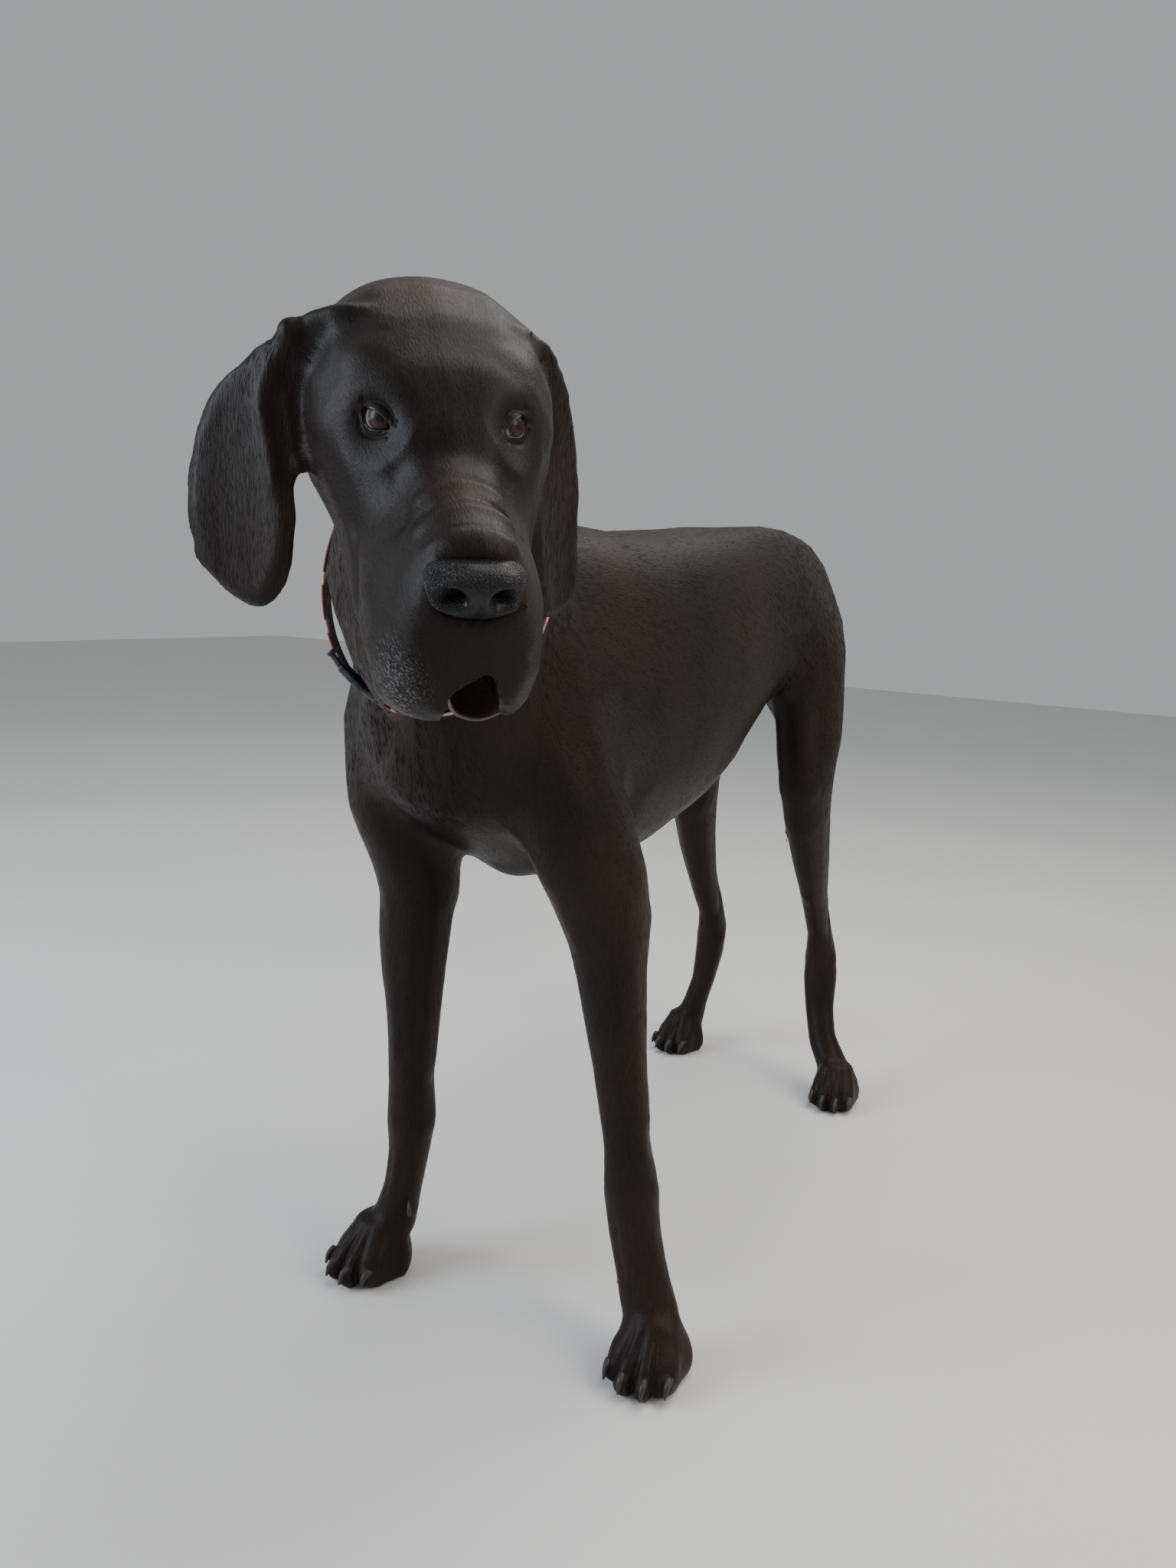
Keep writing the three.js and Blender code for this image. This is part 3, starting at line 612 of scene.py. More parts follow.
def sculpt_face(local, normals):
    """Brow, stop, cheeks, muzzle folds, ear edge and lips, in the head's frame."""
    clay = Clay(local, normals)
    # Brows, stop, cheeks and the hollows behind them
    clay.both("swell", (38, 6, 36), (24, 22, 16), 3.6)
    clay.both("swell", (20, -14, 28), (20, 26, 20), 1.6)
    clay.swell((0, 6, 44), (22, 62, 34), -1.8)
    clay.swell((0, -34, 22), (18, 26, 20), -1.8)
    clay.both("swell", (58, 14, -2), (20, 34, 16), 3.2)
    clay.both("swell", (62, 46, 20), (18, 34, 26), -2.6)
    # The folds below the eyes and along the muzzle, and the upper lips' rolls
    clay.both("crease", [(44, -24, 0), (36, -36, 3), (24, -42, 8)], 3.0, 1.8)
    clay.both("crease", [(50, -22, -10), (42, -40, -8), (31, -54, -4)], 4.0, 1.4)
    clay.both("crease", [(30, -48, 2), (31, -76, -6), (30, -104, -14)], 8.0, 2.2)
    clay.both("swell", (42, -92, -46), (20, 46, 36), 3.0)
    clay.both("crease", [(52, -40, -30), (50, -60, -58), (46, -78, -92)], 7.0, 1.6)
    # Grooves and rolls in turn across the bridge, from the brow to the nose, and the cleft below the nose
    clay.crease([(-26, -84, -8), (-10, -78, 3), (10, -78, 4), (27, -82, -6)], 3.2, 3.0)
    clay.crease([(-27, -92, -9), (-10, -90, 3), (10, -90, 4), (27, -90, -7)], 5.0, -2.2)
    clay.crease([(-30, -106, -16), (-14, -104, 0), (10, -104, 3), (28, -102, -9), (40, -92, -26)], 3.2, 3.4)
    clay.crease([(-28, -115, -14), (-12, -114, 0), (10, -114, 2), (27, -112, -10)], 5.0, -2.4)
    groove = [(-27, -124, -16), (-14, -125, -5), (0, -126, -2), (14, -125, -4), (27, -122, -15)]
    clay.crease(groove, 2.8, 3.0)
    roll = [(-25, -134, -12), (-12, -134, -3), (0, -134, 0), (12, -134, -2), (25, -133, -12)]
    clay.crease(roll, 5.0, -2.6)
    clay.swell((0, -141, -2), (32, 14, 12), 2.4)
    clay.crease([(-24, -130, -10), (-12, -131, 0), (0, -132, 3), (12, -131, 0), (24, -129, -10)], 2.2, 2.8)
    clay.crease([(0, -152, -34), (2, -153, -48), (5, -152, -60)], 2.6, 2.2)
    # The right ear's front edge and its fold, the lips' corners and the rows where whiskers grow
    front_edge = [(-80, 50, 30), (-90, 45, 18), (-97, 39, -1), (-94, 24, -22), (-92, 12, -39), (-84, 6, -60)]
    clay.crease(front_edge, 5.0, -1.9)
    clay.swell((-84, 52, 36), (13, 20, 11), 6.0)
    clay.swell((-28, -132, -92), (24, 34, 24), 4.5)
    clay.swell((-40, -112, -104), (22, 34, 18), 4.0)
    clay.swell((24, -136, -88), (18, 26, 24), 4.0)
    clay.swell((30, -112, -104), (24, 34, 18), 3.0)
    for row in range(WHISKER_ROWS):
        drop = WHISKER_ROW_APART * row
        line = [(-14 - 2 * row, -150, -50 - drop), (-30, -140, -52 - drop), (-40, -118, -50 - drop)]
        clay.crease(line, 2.2, 0.5)
    shaped = clay.worked()
    gap = mouth_share(shaped)
    shaped[:, 1] += MOUTH_DEPTH * gap
    lip = np.exp(-(((gap - LIP_ROLL_AT) / LIP_ROLL_WIDE) ** 2)) * (gap > 0.005)
    shaped[:, 1] -= LIP_ROLL * lip
    return shaped


# The body, in millimetres of the shared frame. A place on a flank is given as y and z.


BESIDE = 400
RIBS = 6
FIRST_RIB = 2
RIBS_APART = 30


def on_flank(tree, side, line):
    """A line drawn on a side view, laid on the skin of the dog's right (-1) or left (1) flank."""
    laid = []
    for y, z in line:
        found = tree.ray_cast(Vector((side * BESIDE, y, z)), Vector((-side, 0, 0)))[0]
        if found is not None:
            laid.append(tuple(found))
    return laid


def sculpt_trunk(clay, tree):
    """Shoulders, ribs, loins and thighs on both sides, then the spine's groove and the folds where the right
    foreleg meets the chest.
    """
    for side in SIDES:
        def flank(stroke, line, *rest):
            laid = on_flank(tree, side, line)
            if laid:
                getattr(clay, stroke)(laid if stroke == "crease" else laid[0], *rest)

        flank("crease", [(-100, 775), (-150, 690), (-205, 620)], 14, -2.2)
        flank("crease", [(-40, 740), (-62, 640), (-70, 540), (-62, 470)], 15, 3.6)
        flank("swell", [(-130, 560)], (50, 66, 74), 4.0)
        flank("swell", [(-235, 600)], (34, 34, 40), 3.0)
        flank("crease", [(-262, 560), (-205, 510), (-150, 455)], 10, 1.6)
        flank("crease", [(-120, 500), (-100, 455), (-96, 430)], 9, 1.8)
        for rib in range(RIBS):
            y = FIRST_RIB + RIBS_APART * rib
            flank("crease", [(y - 14, 720), (y + 8, 640), (y + 2, 540)], 8, 0.7)
        flank("swell", [(292, 690)], (60, 62, 52), -5.0)
        flank("crease", [(268, 560), (318, 590), (352, 650)], 13, -3.0)
        flank("swell", [(352, 786)], (36, 34, 28), 3.0)
        flank("crease", [(540, 720), (520, 620), (500, 520), (492, 455)], 11, 2.4)
        flank("crease", [(420, 700), (400, 600), (404, 510)], 14, 1.6)
        flank("swell", [(470, 640)], (44, 46, 80), 3.0)
        flank("swell", [(382, 475)], (26, 24, 30), 3.0)
    clay.crease([(-52 + 0.06 * y, y, 800) for y in (-60, 80, 220, 330)], 9, 2.0)
    clay.crease([(-112, -303, 625), (-109, -295, 590), (-105, -287, 560), (-98, -276, 530)], 9, -5.0)
    clay.crease([(-125, -296, 610), (-122, -290, 575), (-116, -280, 545)], 7, 2.0)
    clay.crease([(-96, -270, 534), (-74, -260, 524), (-48, -246, 512)], 6, 3.0)


LEG_MARGIN = 8
SLICE = 5


def leg_middle(points, leg, fore, height):
    """The middle and the half sizes of a leg at a height, from the skin round it."""
    names = ("forearm_", "pastern_", "upper_arm_") if fore else ("lower_leg_", "hock_", "thigh_")
    lows, highs = zip(*(BOXES[name + leg] for name in names))
    low, high = np.min(lows, axis=0) / MM - LEG_MARGIN, np.max(highs, axis=0) / MM + LEG_MARGIN
    near = (np.abs(points[:, 2] - height) < SLICE) & (points[:, :2] > low[:2]).all(axis=1)
    band = points[near & (points[:, :2] < high[:2]).all(axis=1)]
    return np.append((band.max(0) + band.min(0))[:2] / 2, height), np.ptp(band, axis=0)[:2] / 2


# Joints and muscles of a leg. Each row: height, shares of its half sizes outward and backward, radii, rise.
FORE_RISES = [
    (150, 0.2, 0.9, (12, 13, 13), 4.5),
    (170, 0.0, -0.9, (20, 14, 26), 2.0),
    (172, 0.9, 0.0, (10, 16, 20), 1.6),
    (172, -0.9, 0.0, (10, 16, 20), 1.6),
    (214, 0.9, 0.3, (10, 16, 34), -2.2),
    (214, -0.9, 0.3, (10, 16, 34), -1.8),
    (360, 0.5, -0.6, (26, 28, 80), 3.2),
    (345, 0.2, 0.9, (22, 20, 66), 2.6),
]
HIND_RISES = [
    (207, 0.0, 0.95, (13, 14, 20), 4.0),
    (196, 0.9, -0.2, (9, 14, 18), 2.0),
    (196, -0.9, -0.2, (9, 14, 18), 2.0),
    (268, 0.95, 0.35, (10, 15, 44), -4.0),
    (268, -0.95, 0.35, (10, 15, 44), -3.6),
    (300, 0.0, -0.95, (14, 14, 80), 1.6),
]
# Grooves beside the muscles and tendons. Each row: the same two shares, heights, width, depth.
FORE_CREASES = [
    (0.75, 0.65, (385, 300, 205), 4.5, 2.0),
    (-0.75, 0.6, (380, 300, 210), 4.5, 1.4),
    (0.35, -0.95, (150, 115, 80), 3.2, 1.3),
    (-0.35, -0.95, (150, 115, 80), 3.2, 1.3),
]
HIND_CREASES = [
    (0.9, 0.1, (180, 130, 80), 4.5, 1.6),
    (-0.9, 0.1, (180, 130, 80), 4.5, 1.4),
    (0.3, -0.95, (150, 110, 75), 3.2, 1.2),
]


def sculpt_leg(clay, leg, points):
    """Joints, tendons and muscles of one leg, from its tables."""
    fore = leg[0] == "f"
    out = 1 if leg[1] == "l" else -1

    def on_leg(height, across, back):
        centre, half = leg_middle(points, leg, fore, height)
        return centre + (out * across * half[0], back * half[1], 0)

    for height, across, back, radii, rise in FORE_RISES if fore else HIND_RISES:
        clay.swell(on_leg(height, across, back), radii, rise)
    for across, back, heights, width, depth in FORE_CREASES if fore else HIND_CREASES:
        clay.crease([on_leg(height, across, back) for height in heights], width, depth)


TOE_GROOVE = 3.0
TOE_GROOVE_DEPTH = 5.0
TOE_GROOVE_BACK = 0.62
TOE_GROOVE_FRONT = 0.25
# The place of a wrist over its paw's box, as a share of its length from the front
WRIST_BACK = 0.75
PAW_ZONE = 62
PAW_HIGH = 66
# How far behind a claw's middle each rise of a toe lies, its height, its radii and its rise
KNUCKLES = [
    (7, 14, (11, 13, 14), 6.5),
    (18, 26, (10, 13, 12), 2.6),
    (38, 40, (11, 14, 13), 1.8),
]


def sculpt_paw(clay, leg):
    """Parts the four toes with grooves seen from above, and raises their knuckles."""
    low, high = BOXES["paw_" + leg]
    wrist = np.array([(low[0] + high[0]) / 2, (1 - WRIST_BACK) * low[1] + WRIST_BACK * high[1]]) / MM
    tips = [middle(f"claw_{leg}_{n}")[:2] / MM for n in (1, 2, 3, 4)]
    from_middle = np.abs(clay.points[:, :2] - middle("paw_" + leg)[:2] / MM).max(axis=1)
    near = (clay.points[:, 2] < PAW_HIGH) & (from_middle < PAW_ZONE)
    flat = np.zeros_like(clay.points[near])
    flat[:, :2] = clay.points[near][:, :2]
    for one, other in zip(tips, tips[1:]):
        front = (one + other) / 2
        back = front + TOE_GROOVE_BACK * (wrist - front)
        front = front - TOE_GROOVE_FRONT * (wrist - front)
        distance, along = line_distance(flat, [(*front, 0), (*back, 0)])
        depth = TOE_GROOVE_DEPTH * (1 - ramp(along, 0.35, 1.0))
        clay.rise[near] -= depth * np.exp(-((distance / TOE_GROOVE) ** 2))
    for tip in tips:
        for behind, height, radii, rise in KNUCKLES:
            clay.swell((*(tip + behind * unit(wrist - tip)), height), radii, rise)
    clay.swell((*(wrist + (0, 12)), 8), (30, 26, 14), 1.5)


SOLE_HEIGHT = 0.4 * MM


def work_body(form):
    """Strokes on the trunk, legs and paws, and the neck brought to the collar."""
    points = mesh_points(form.data) / MM
    triangles = mesh_triangles(form.data)
    clay = Clay(points, point_normals(points, triangles))
    sculpt_trunk(clay, surface_tree(points, triangles))
    for leg in LEGS:
        sculpt_leg(clay, leg, points)
        sculpt_paw(clay, leg)
    worked = fit_collar(clay.worked() * MM)
    worked[:, 2] = np.maximum(worked[:, 2], SOLE_HEIGHT)
    set_points(form.data, worked)


# How far along the neck the band's pressing and the neck's filling reach, and how far out from its middle
PRESSED_REACH = (17 * MM, 65 * MM)
FILLED_REACH = (20 * MM, 120 * MM)
FILLED_MOST = 15 * MM
NECK_ENDS = (150 * MM, 170 * MM)


def fit_collar(points):
    """Brings the neck to the inside of the collar's band, pressed in or filled out."""
    centre, high, wide, thrust, half = collar_axes()
    off = points - centre
    up, across = off @ high, off @ wide
    radius = np.hypot(up, across)
    inside = radius / np.hypot(up / half[0], across / half[1]) - BAND_THICK - COLLAR_SLACK
    away = np.abs(off @ thrust)
    pressed = np.maximum(radius - inside, 0) * (1 - ramp(away, *PRESSED_REACH))
    filled = np.clip(inside - radius, 0, FILLED_MOST) * (1 - ramp(away, *FILLED_REACH))
    move = (filled - pressed) * (1 - ramp(radius, *NECK_ENDS)) / np.maximum(radius, NEARLY_ZERO)
    return points + (np.outer(up, high) + np.outer(across, wide)) * move[:, None]


FINE_PAW_TOP = (70 * MM, 78 * MM)
FACE_FRONT = -108.0
FACE_FOOT = -130
EYE_FIELD = 25.0


def paw_share(points):
    """1 on the paws, which are cut finer than the legs."""
    return 1 - ramp(points[:, 2], *FINE_PAW_TOP)


def near_head(points):
    return np.linalg.norm(points - HEAD_AT, axis=1) < HEAD_REACH


def face_share(points):
    """1 on the front of the muzzle and round the eyes, which show the finest folds."""
    local = to_head(points)
    shown = (local[:, 1] < FACE_FRONT) & (local[:, 2] > FACE_FOOT)
    for side in SIDES:
        shown |= np.linalg.norm(local - eye_in_head(side), axis=1) < EYE_FIELD
    return (shown & near_head(points)).astype(float)


def shape_skin():
    """The one skin of the whole dog, inside the outline by the coat's depth."""
    form = joined_flesh()
    points, edges = mesh_points(form.data), mesh_edges(form.data)
    head, paw, leg, trunk = region_shares(points)
    body = 1 - tail_share(points)
    strength = SMOOTHING["trunk"] * trunk + SMOOTHING["leg"] * leg + SMOOTHING["head"] * head
    strength = body * (strength + SMOOTHING["paw"] * paw) + SMOOTHING["tail"] * (1 - body)
    set_points(form.data, full_smooth(points, edges, strength, FORM_ROUNDS))
    fewer_where(form, trunk * body, TRUNK_FACES_KEPT)
    finer(form, head_share)
    points, edges = mesh_points(form.data), mesh_edges(form.data)
    head, paw, leg, trunk = region_shares(points)
    ear = ear_share(points)
    points = full_smooth(points, edges, 0.5 + 0.5 * trunk, 4)
    depth = COAT_DEPTH["body"] * (leg + trunk) + COAT_DEPTH["head"] * head + COAT_DEPTH["paw"] * paw
    triangles = mesh_triangles(form.data)
    normals = point_normals(points, triangles)
    thinned = ear_depths(points, normals, triangles, ear)[:, None]
    thinned = smoothed(thinned, edges, np.ones(len(points)), 10)[:, 0]
    depth = depth * (1 - ear) + thinned * ear
    points = points - normals * depth[:, None]
    points = full_smooth(points, edges, 0.9 * ear, EAR_ROUNDS)
    points = smoothed(points, edges, np.maximum(0.6 * ear, ear_root_share(points)), 8)
    set_points(form.data, points)
    finer(form, paw_share)
    work_body(form)
    finer(form, face_share)
    work_head(form)
    no_more_than(form, SKIN_TRIANGLES)
    return form


def work_head(form):
    """Lids, folds and lips on the head's part of the skin."""
    points, edges = mesh_points(form.data), mesh_edges(form.data)
    triangles = mesh_triangles(form.data)
    face = face_share(points)
    points = smoothed(points, edges, 0.8 * face, 3)
    normals = point_normals(points, triangles)
    near = near_head(points)
    local = to_head(points)
    local[near] = sculpt_face(local[near], normals[near] @ HEAD_TURN)
    set_points(form.data, from_head(set_lids(local, edges)))


# Wet rims of the lids and the lower lip, in the head's frame

LID_RIM = 0.8
LIP_RIM = [
    (-9, -148, -76),
    (-8, -146, -86),
    (-4, -141, -97),
    (1, -139, -102),
    (7, -139, -104),
    (14, -140, -103),
    (21, -143, -97),
    (23, -145, -90),
]
LIP_RIM_THICK = 1.3
LIP_RIM_STEPS = 30
TUBE_SIDES = 8
# The angle that an open tube's first and last rings keep from the end of its taper
TUBE_END = 0.03


def tube(name, line, thick, closed):
    """A round tube through places in the head's frame. An open one tapers to its two ends."""
    line = np.asarray(line, float)
    count = len(line)
    if closed:
        ways = np.roll(line, -1, axis=0) - np.roll(line, 1, axis=0)
        radii = np.full(count, thick)
    else:
        ways = np.gradient(line, axis=0)
        radii = thick * np.sqrt(np.sin(np.linspace(TUBE_END, math.pi - TUBE_END, count)))
    ways = unit_rows(ways)
    side = unit_rows(np.cross(ways, (0.1, -1.0, 0.2)))
    rise = np.cross(side, ways)
    points = []
    for at, radius, a, b in zip(line, radii, side, rise):
        for turn in turns(TUBE_SIDES):
            points.append(at + radius * (a * math.cos(turn) + b * math.sin(turn)))
    faces = ring_faces(count, TUBE_SIDES, closed)
    if not closed:
        faces += end_faces(len(points), TUBE_SIDES)
    return outward(new_object(name, mesh_from(name, from_head(points), faces)))


LIP_BACK = [
    (-16, -114, -68),
    (-13, -110, -82),
    (-5, -106, -92),
    (4, -104, -95),
    (14, -106, -93),
    (22, -110, -89),
    (27, -118, -84),
]
LIP_COLUMNS = 24
LIP_STEPS = 12
# How far the floor of the lip sags between its rim and the jaw, and how thick it is
LIP_SAG = 3.0
LIP_SHEET = 1.6


def lower_lip(name):
    """The floor of the lower lip, from its wet rim back to the jaw."""
    front = curve_through(LIP_RIM, LIP_COLUMNS)
    back = curve_through(LIP_BACK, LIP_COLUMNS)
    points = []
    for step in np.linspace(0, 1, LIP_STEPS):
        row = front * (1 - step) + back * step
        row[:, 2] -= LIP_SAG * math.sin(math.pi * step)
        points.extend(row)
    faces = []
    for k in range(LIP_STEPS - 1):
        for j in range(LIP_COLUMNS - 1):
            here = k * LIP_COLUMNS + j
            faces.append((here, here + 1, here + LIP_COLUMNS + 1, here + LIP_COLUMNS))
    obj = new_object(name, mesh_from(name, from_head(points), faces))
    with_modifier(obj, "SOLIDIFY", thickness=LIP_SHEET * MM, offset=0.0)
    return outward(obj)


# The coat's tufts: closed thin blades that lie along the body

TUFTS_IN_A_PIECE = 19400
BAKE_MAP = "OFBake"
BAKE_PATCH = 0.003
SEED = 20
# Length, width and lift of the tip off the skin in millimetres, and how close together, for each region
TUFT_SIZES = {
    "head": (5.0, 0.65, 0.14, 3.0),
    "ear": (6.5, 0.75, 0.20, 2.2),
    "paw": (4.5, 0.7, 0.14, 3.0),
    "leg": (8.0, 0.85, 0.22, 1.7),
    "trunk": (10.5, 1.05, 0.28, 1.0),
}
# Places where the hair stands a little off the form: middle, radii, in metres
RUFFLED = [
    ((-0.10, 0.54, 0.60), (0.10, 0.07, 0.16)),
    ((0.02, 0.54, 0.60), (0.10, 0.07, 0.16)),
    ((-0.066, -0.29, 0.56), (0.08, 0.06, 0.13)),
    ((-0.03, 0.63, 0.50), (0.04, 0.05, 0.20)),
    ((-0.16, -0.10, 0.44), (0.05, 0.05, 0.06)),
    ((0.03, -0.10, 0.44), (0.05, 0.05, 0.06)),
]
# The same on the head, in its own frame in millimetres
RUFFLED_HEAD = [((78, 48, 30), (22, 26, 26)), ((-82, 48, 26), (24, 26, 26)), ((-66, 40, -95), (30, 34, 30))]
RUFFLED_LENGTH = 1.7
RUFFLED_LIFT = 1.6
# How a tuft's thickness, its width and its lift halfway go with its width and lift
TUFT_THICK = 0.07
HALFWAY_WIDE = 0.76
HALFWAY_LIFT = 0.55
TUFT_ROUNDING = 0.5
ROOT_DEPTH = 0.25 * MM
# The least and the most of the usual length, width and lift, and of a ruffled place's
LENGTH_SPREAD = (0.7, 1.2)
WIDTH_SPREAD = (0.75, 1.25)
LIFT_SPREAD = (0.4, 1.3)
RUFFLED_SPREAD = (0.3, 1.0)
# How the hair swirls in slow waves over the coat and how far single tufts stray, in radians
SWIRL = 0.16
SWIRL_WAVES = (37, 61)
STRAY = 0.13
LOWEST_TUFT = 0.5 * MM


EAR_LEAF = (68, 80)


def coat_regions(points):
    """How much of each tuft size a place has."""
    head, paw, leg, trunk = region_shares(points)
    leaf = ramp(np.abs(to_head(points)[:, 0]), *EAR_LEAF) * head
    return {"head": head - leaf, "ear": leaf, "paw": paw, "leg": leg, "trunk": trunk}


def ruffled_share(points):
    """1 in the middle of a place where the hair stands off the form, 0 outside it."""
    share = np.zeros(len(points))
    local = to_head(points)
    for places, patches in ((points, RUFFLED), (local, RUFFLED_HEAD)):
        for centre, radii in patches:
            share = np.maximum(share, 1 - ramp(np.linalg.norm((places - centre) / radii, axis=1), 0.2, 1.0))
    return share


# The ways the hair lies on the trunk: on its sides, then on its top, its rump and its chest, each of them
# with the axis and the two places between which it takes over
SIDES_LIE = (0, 1, -0.55)
TRUNK_LIES = [
    (2, (0.70, 0.80), (0, 1, -0.05)),
    (1, (0.22, 0.42), (0, 0.45, -1)),
    (1, (-0.14, -0.26), (0, 0.5, -0.8)),
]
LIES = {
    "head": turn_from_head([0, 1, -0.25]),
    "ear": (0, 0.1, -1),
    "paw": (0, -0.8, -0.6),
    "leg": (0, 0.12, -1),
}


def lie_of_coat(points, regions):
    """The way the hair lies at each place, before it is laid flat on the skin."""
    trunk = np.array(SIDES_LIE)
    for axis, reach, way in TRUNK_LIES:
        share = ramp(points[:, axis], *reach)[:, None]
        trunk = trunk * (1 - share) + np.array(way) * share
    lie = trunk * regions["trunk"][:, None]
    for region, way in LIES.items():
        lie = lie + regions[region][:, None] * np.array(way)
    return lie


# The bare boxes of the nose and the mouth in the head's frame, each as its low and its high corner
ANY = math.inf
BARE_BOXES = [((-27, -ANY, -34), (27, -147, ANY)), ((-18, -ANY, -ANY), (22, -80, -60))]
BARE_EYE = 17
BARE_EYE_DEEP = 30
BARE_BESIDE_BAND = 3 * MM
BARE_ROUND_BAND = 30 * MM
BARE_SOLE = 6 * MM


def bare_places(points):
    """Where no tuft grows: on the lids, the nose and the soles, in the mouth and beneath the collar."""
    local = to_head(points)
    bare = points[:, 2] < BARE_SOLE
    for low, high in BARE_BOXES:
        bare |= ((local > low) & (local < high)).all(axis=1)
    for side in SIDES:
        seen = (local - eye_in_head(side)) @ gaze_turn(side)
        off_axis = np.hypot(seen[:, 0], seen[:, 1])
        bare |= (off_axis < BARE_EYE) & (seen[:, 2] > 0) & (seen[:, 2] < BARE_EYE_DEEP)
    centre, _, _, thrust, half = collar_axes()
    around = points - centre
    beside = np.abs(around @ thrust) < BAND_WIDTH / 2 + BARE_BESIDE_BAND
    return bare | beside & (np.linalg.norm(around, axis=1) < max(half) + BARE_ROUND_BAND)


def unwrap(skin):
    """Lays the skin's own shape flat in the map that the tufts share."""
    for layer in list(skin.data.uv_layers):
        skin.data.uv_layers.remove(layer)
    skin.data.uv_layers.new(name=BAKE_MAP)
    bpy.context.view_layer.objects.active = skin
    skin.select_set(True)
    bpy.ops.object.mode_set(mode="EDIT")
    bpy.ops.mesh.select_all(action="SELECT")
    bpy.ops.uv.smart_project(angle_limit=math.radians(60), island_margin=0.001)
    bpy.ops.object.mode_set(mode="OBJECT")
    skin.select_set(False)


def skin_corners(skin):
    """Each triangle's three places on the bake map."""
    loops = mesh_triangles(skin.data, "loops")
    return rows_of(skin.data.uv_layers[BAKE_MAP].data, "uv", 2)[loops]


class SkinSurface:
    """The skin as arrays, for growing the coat on it."""

    def __init__(self, skin):
        self.points = mesh_points(skin.data)
        self.triangles = mesh_triangles(skin.data)
        self.normals = point_normals(self.points, self.triangles)
        self.flat = skin_corners(skin)
        self.tree = surface_tree(self.points, self.triangles)
        a, b, c = (self.points[self.triangles[:, k]] for k in range(3))
        self.area = np.linalg.norm(np.cross(b - a, c - a), axis=1) / 2
        self.middle = (a + b + c) / 3

    def nearest(self, places):
        """The place and the outward way on the skin nearest to each place."""
        found = [self.tree.find_nearest(place)[:2] for place in places.tolist()]
        return np.array([f[0] for f in found]), np.array([f[1] for f in found])


TUFT_CORNERS = 7
TUFT_FACES = np.array([
    (0, 1, 2),
    (0, 3, 4), (0, 4, 1), (1, 4, 5), (1, 5, 2), (2, 5, 3), (2, 3, 0),
    (3, 6, 4), (4, 6, 5), (5, 6, 3),
])
# A tuft's corners laid flat, for its patch of the bake map
TUFT_PATCH = np.array([(0, 0), (0, 1), (0.3, 0.5), (0.5, 0), (0.5, 1), (0.6, 0.5), (1, 0.5)]) - 0.5


def blades(roots, normals, ways, length, width, lift, surface):
    """Each tuft's corners, three at the root, three halfway and the tip, and how each one shades."""
    side = np.cross(normals, ways)
    half, half_out = surface.nearest(roots + ways * (0.5 * length)[:, None])
    end, end_out = surface.nearest(roots + ways * length[:, None])
    thick = TUFT_THICK * width
    root_rises = (-ROOT_DEPTH, -ROOT_DEPTH, thick)
    halfway = HALFWAY_LIFT * lift
    half_rises = (halfway, halfway, halfway + thick)
    corners = np.empty((len(roots), TUFT_CORNERS, 3))
    shades = np.empty((len(roots), TUFT_CORNERS, 3))
    for k, across in enumerate((0.5, -0.5, 0.0)):
        rise = root_rises[k] if k < 2 else thick[:, None]
        corners[:, k] = roots + side * (across * width)[:, None] + normals * rise
        off_middle = side * (HALFWAY_WIDE * across * width)[:, None]
        corners[:, 3 + k] = half + off_middle + half_out * half_rises[k][:, None]
        shades[:, k] = normals + side * (across * TUFT_ROUNDING)
        shades[:, 3 + k] = shades[:, k]
    corners[:, 6] = end + end_out * lift[:, None]
    shades[:, 6] = normals
    return corners, unit_rows(shades)


def tuft_measure(regions, which):
    """One of the four measures of the tuft sizes, blended over the regions."""
    return sum(regions[region] * sizes[which] for region, sizes in TUFT_SIZES.items())


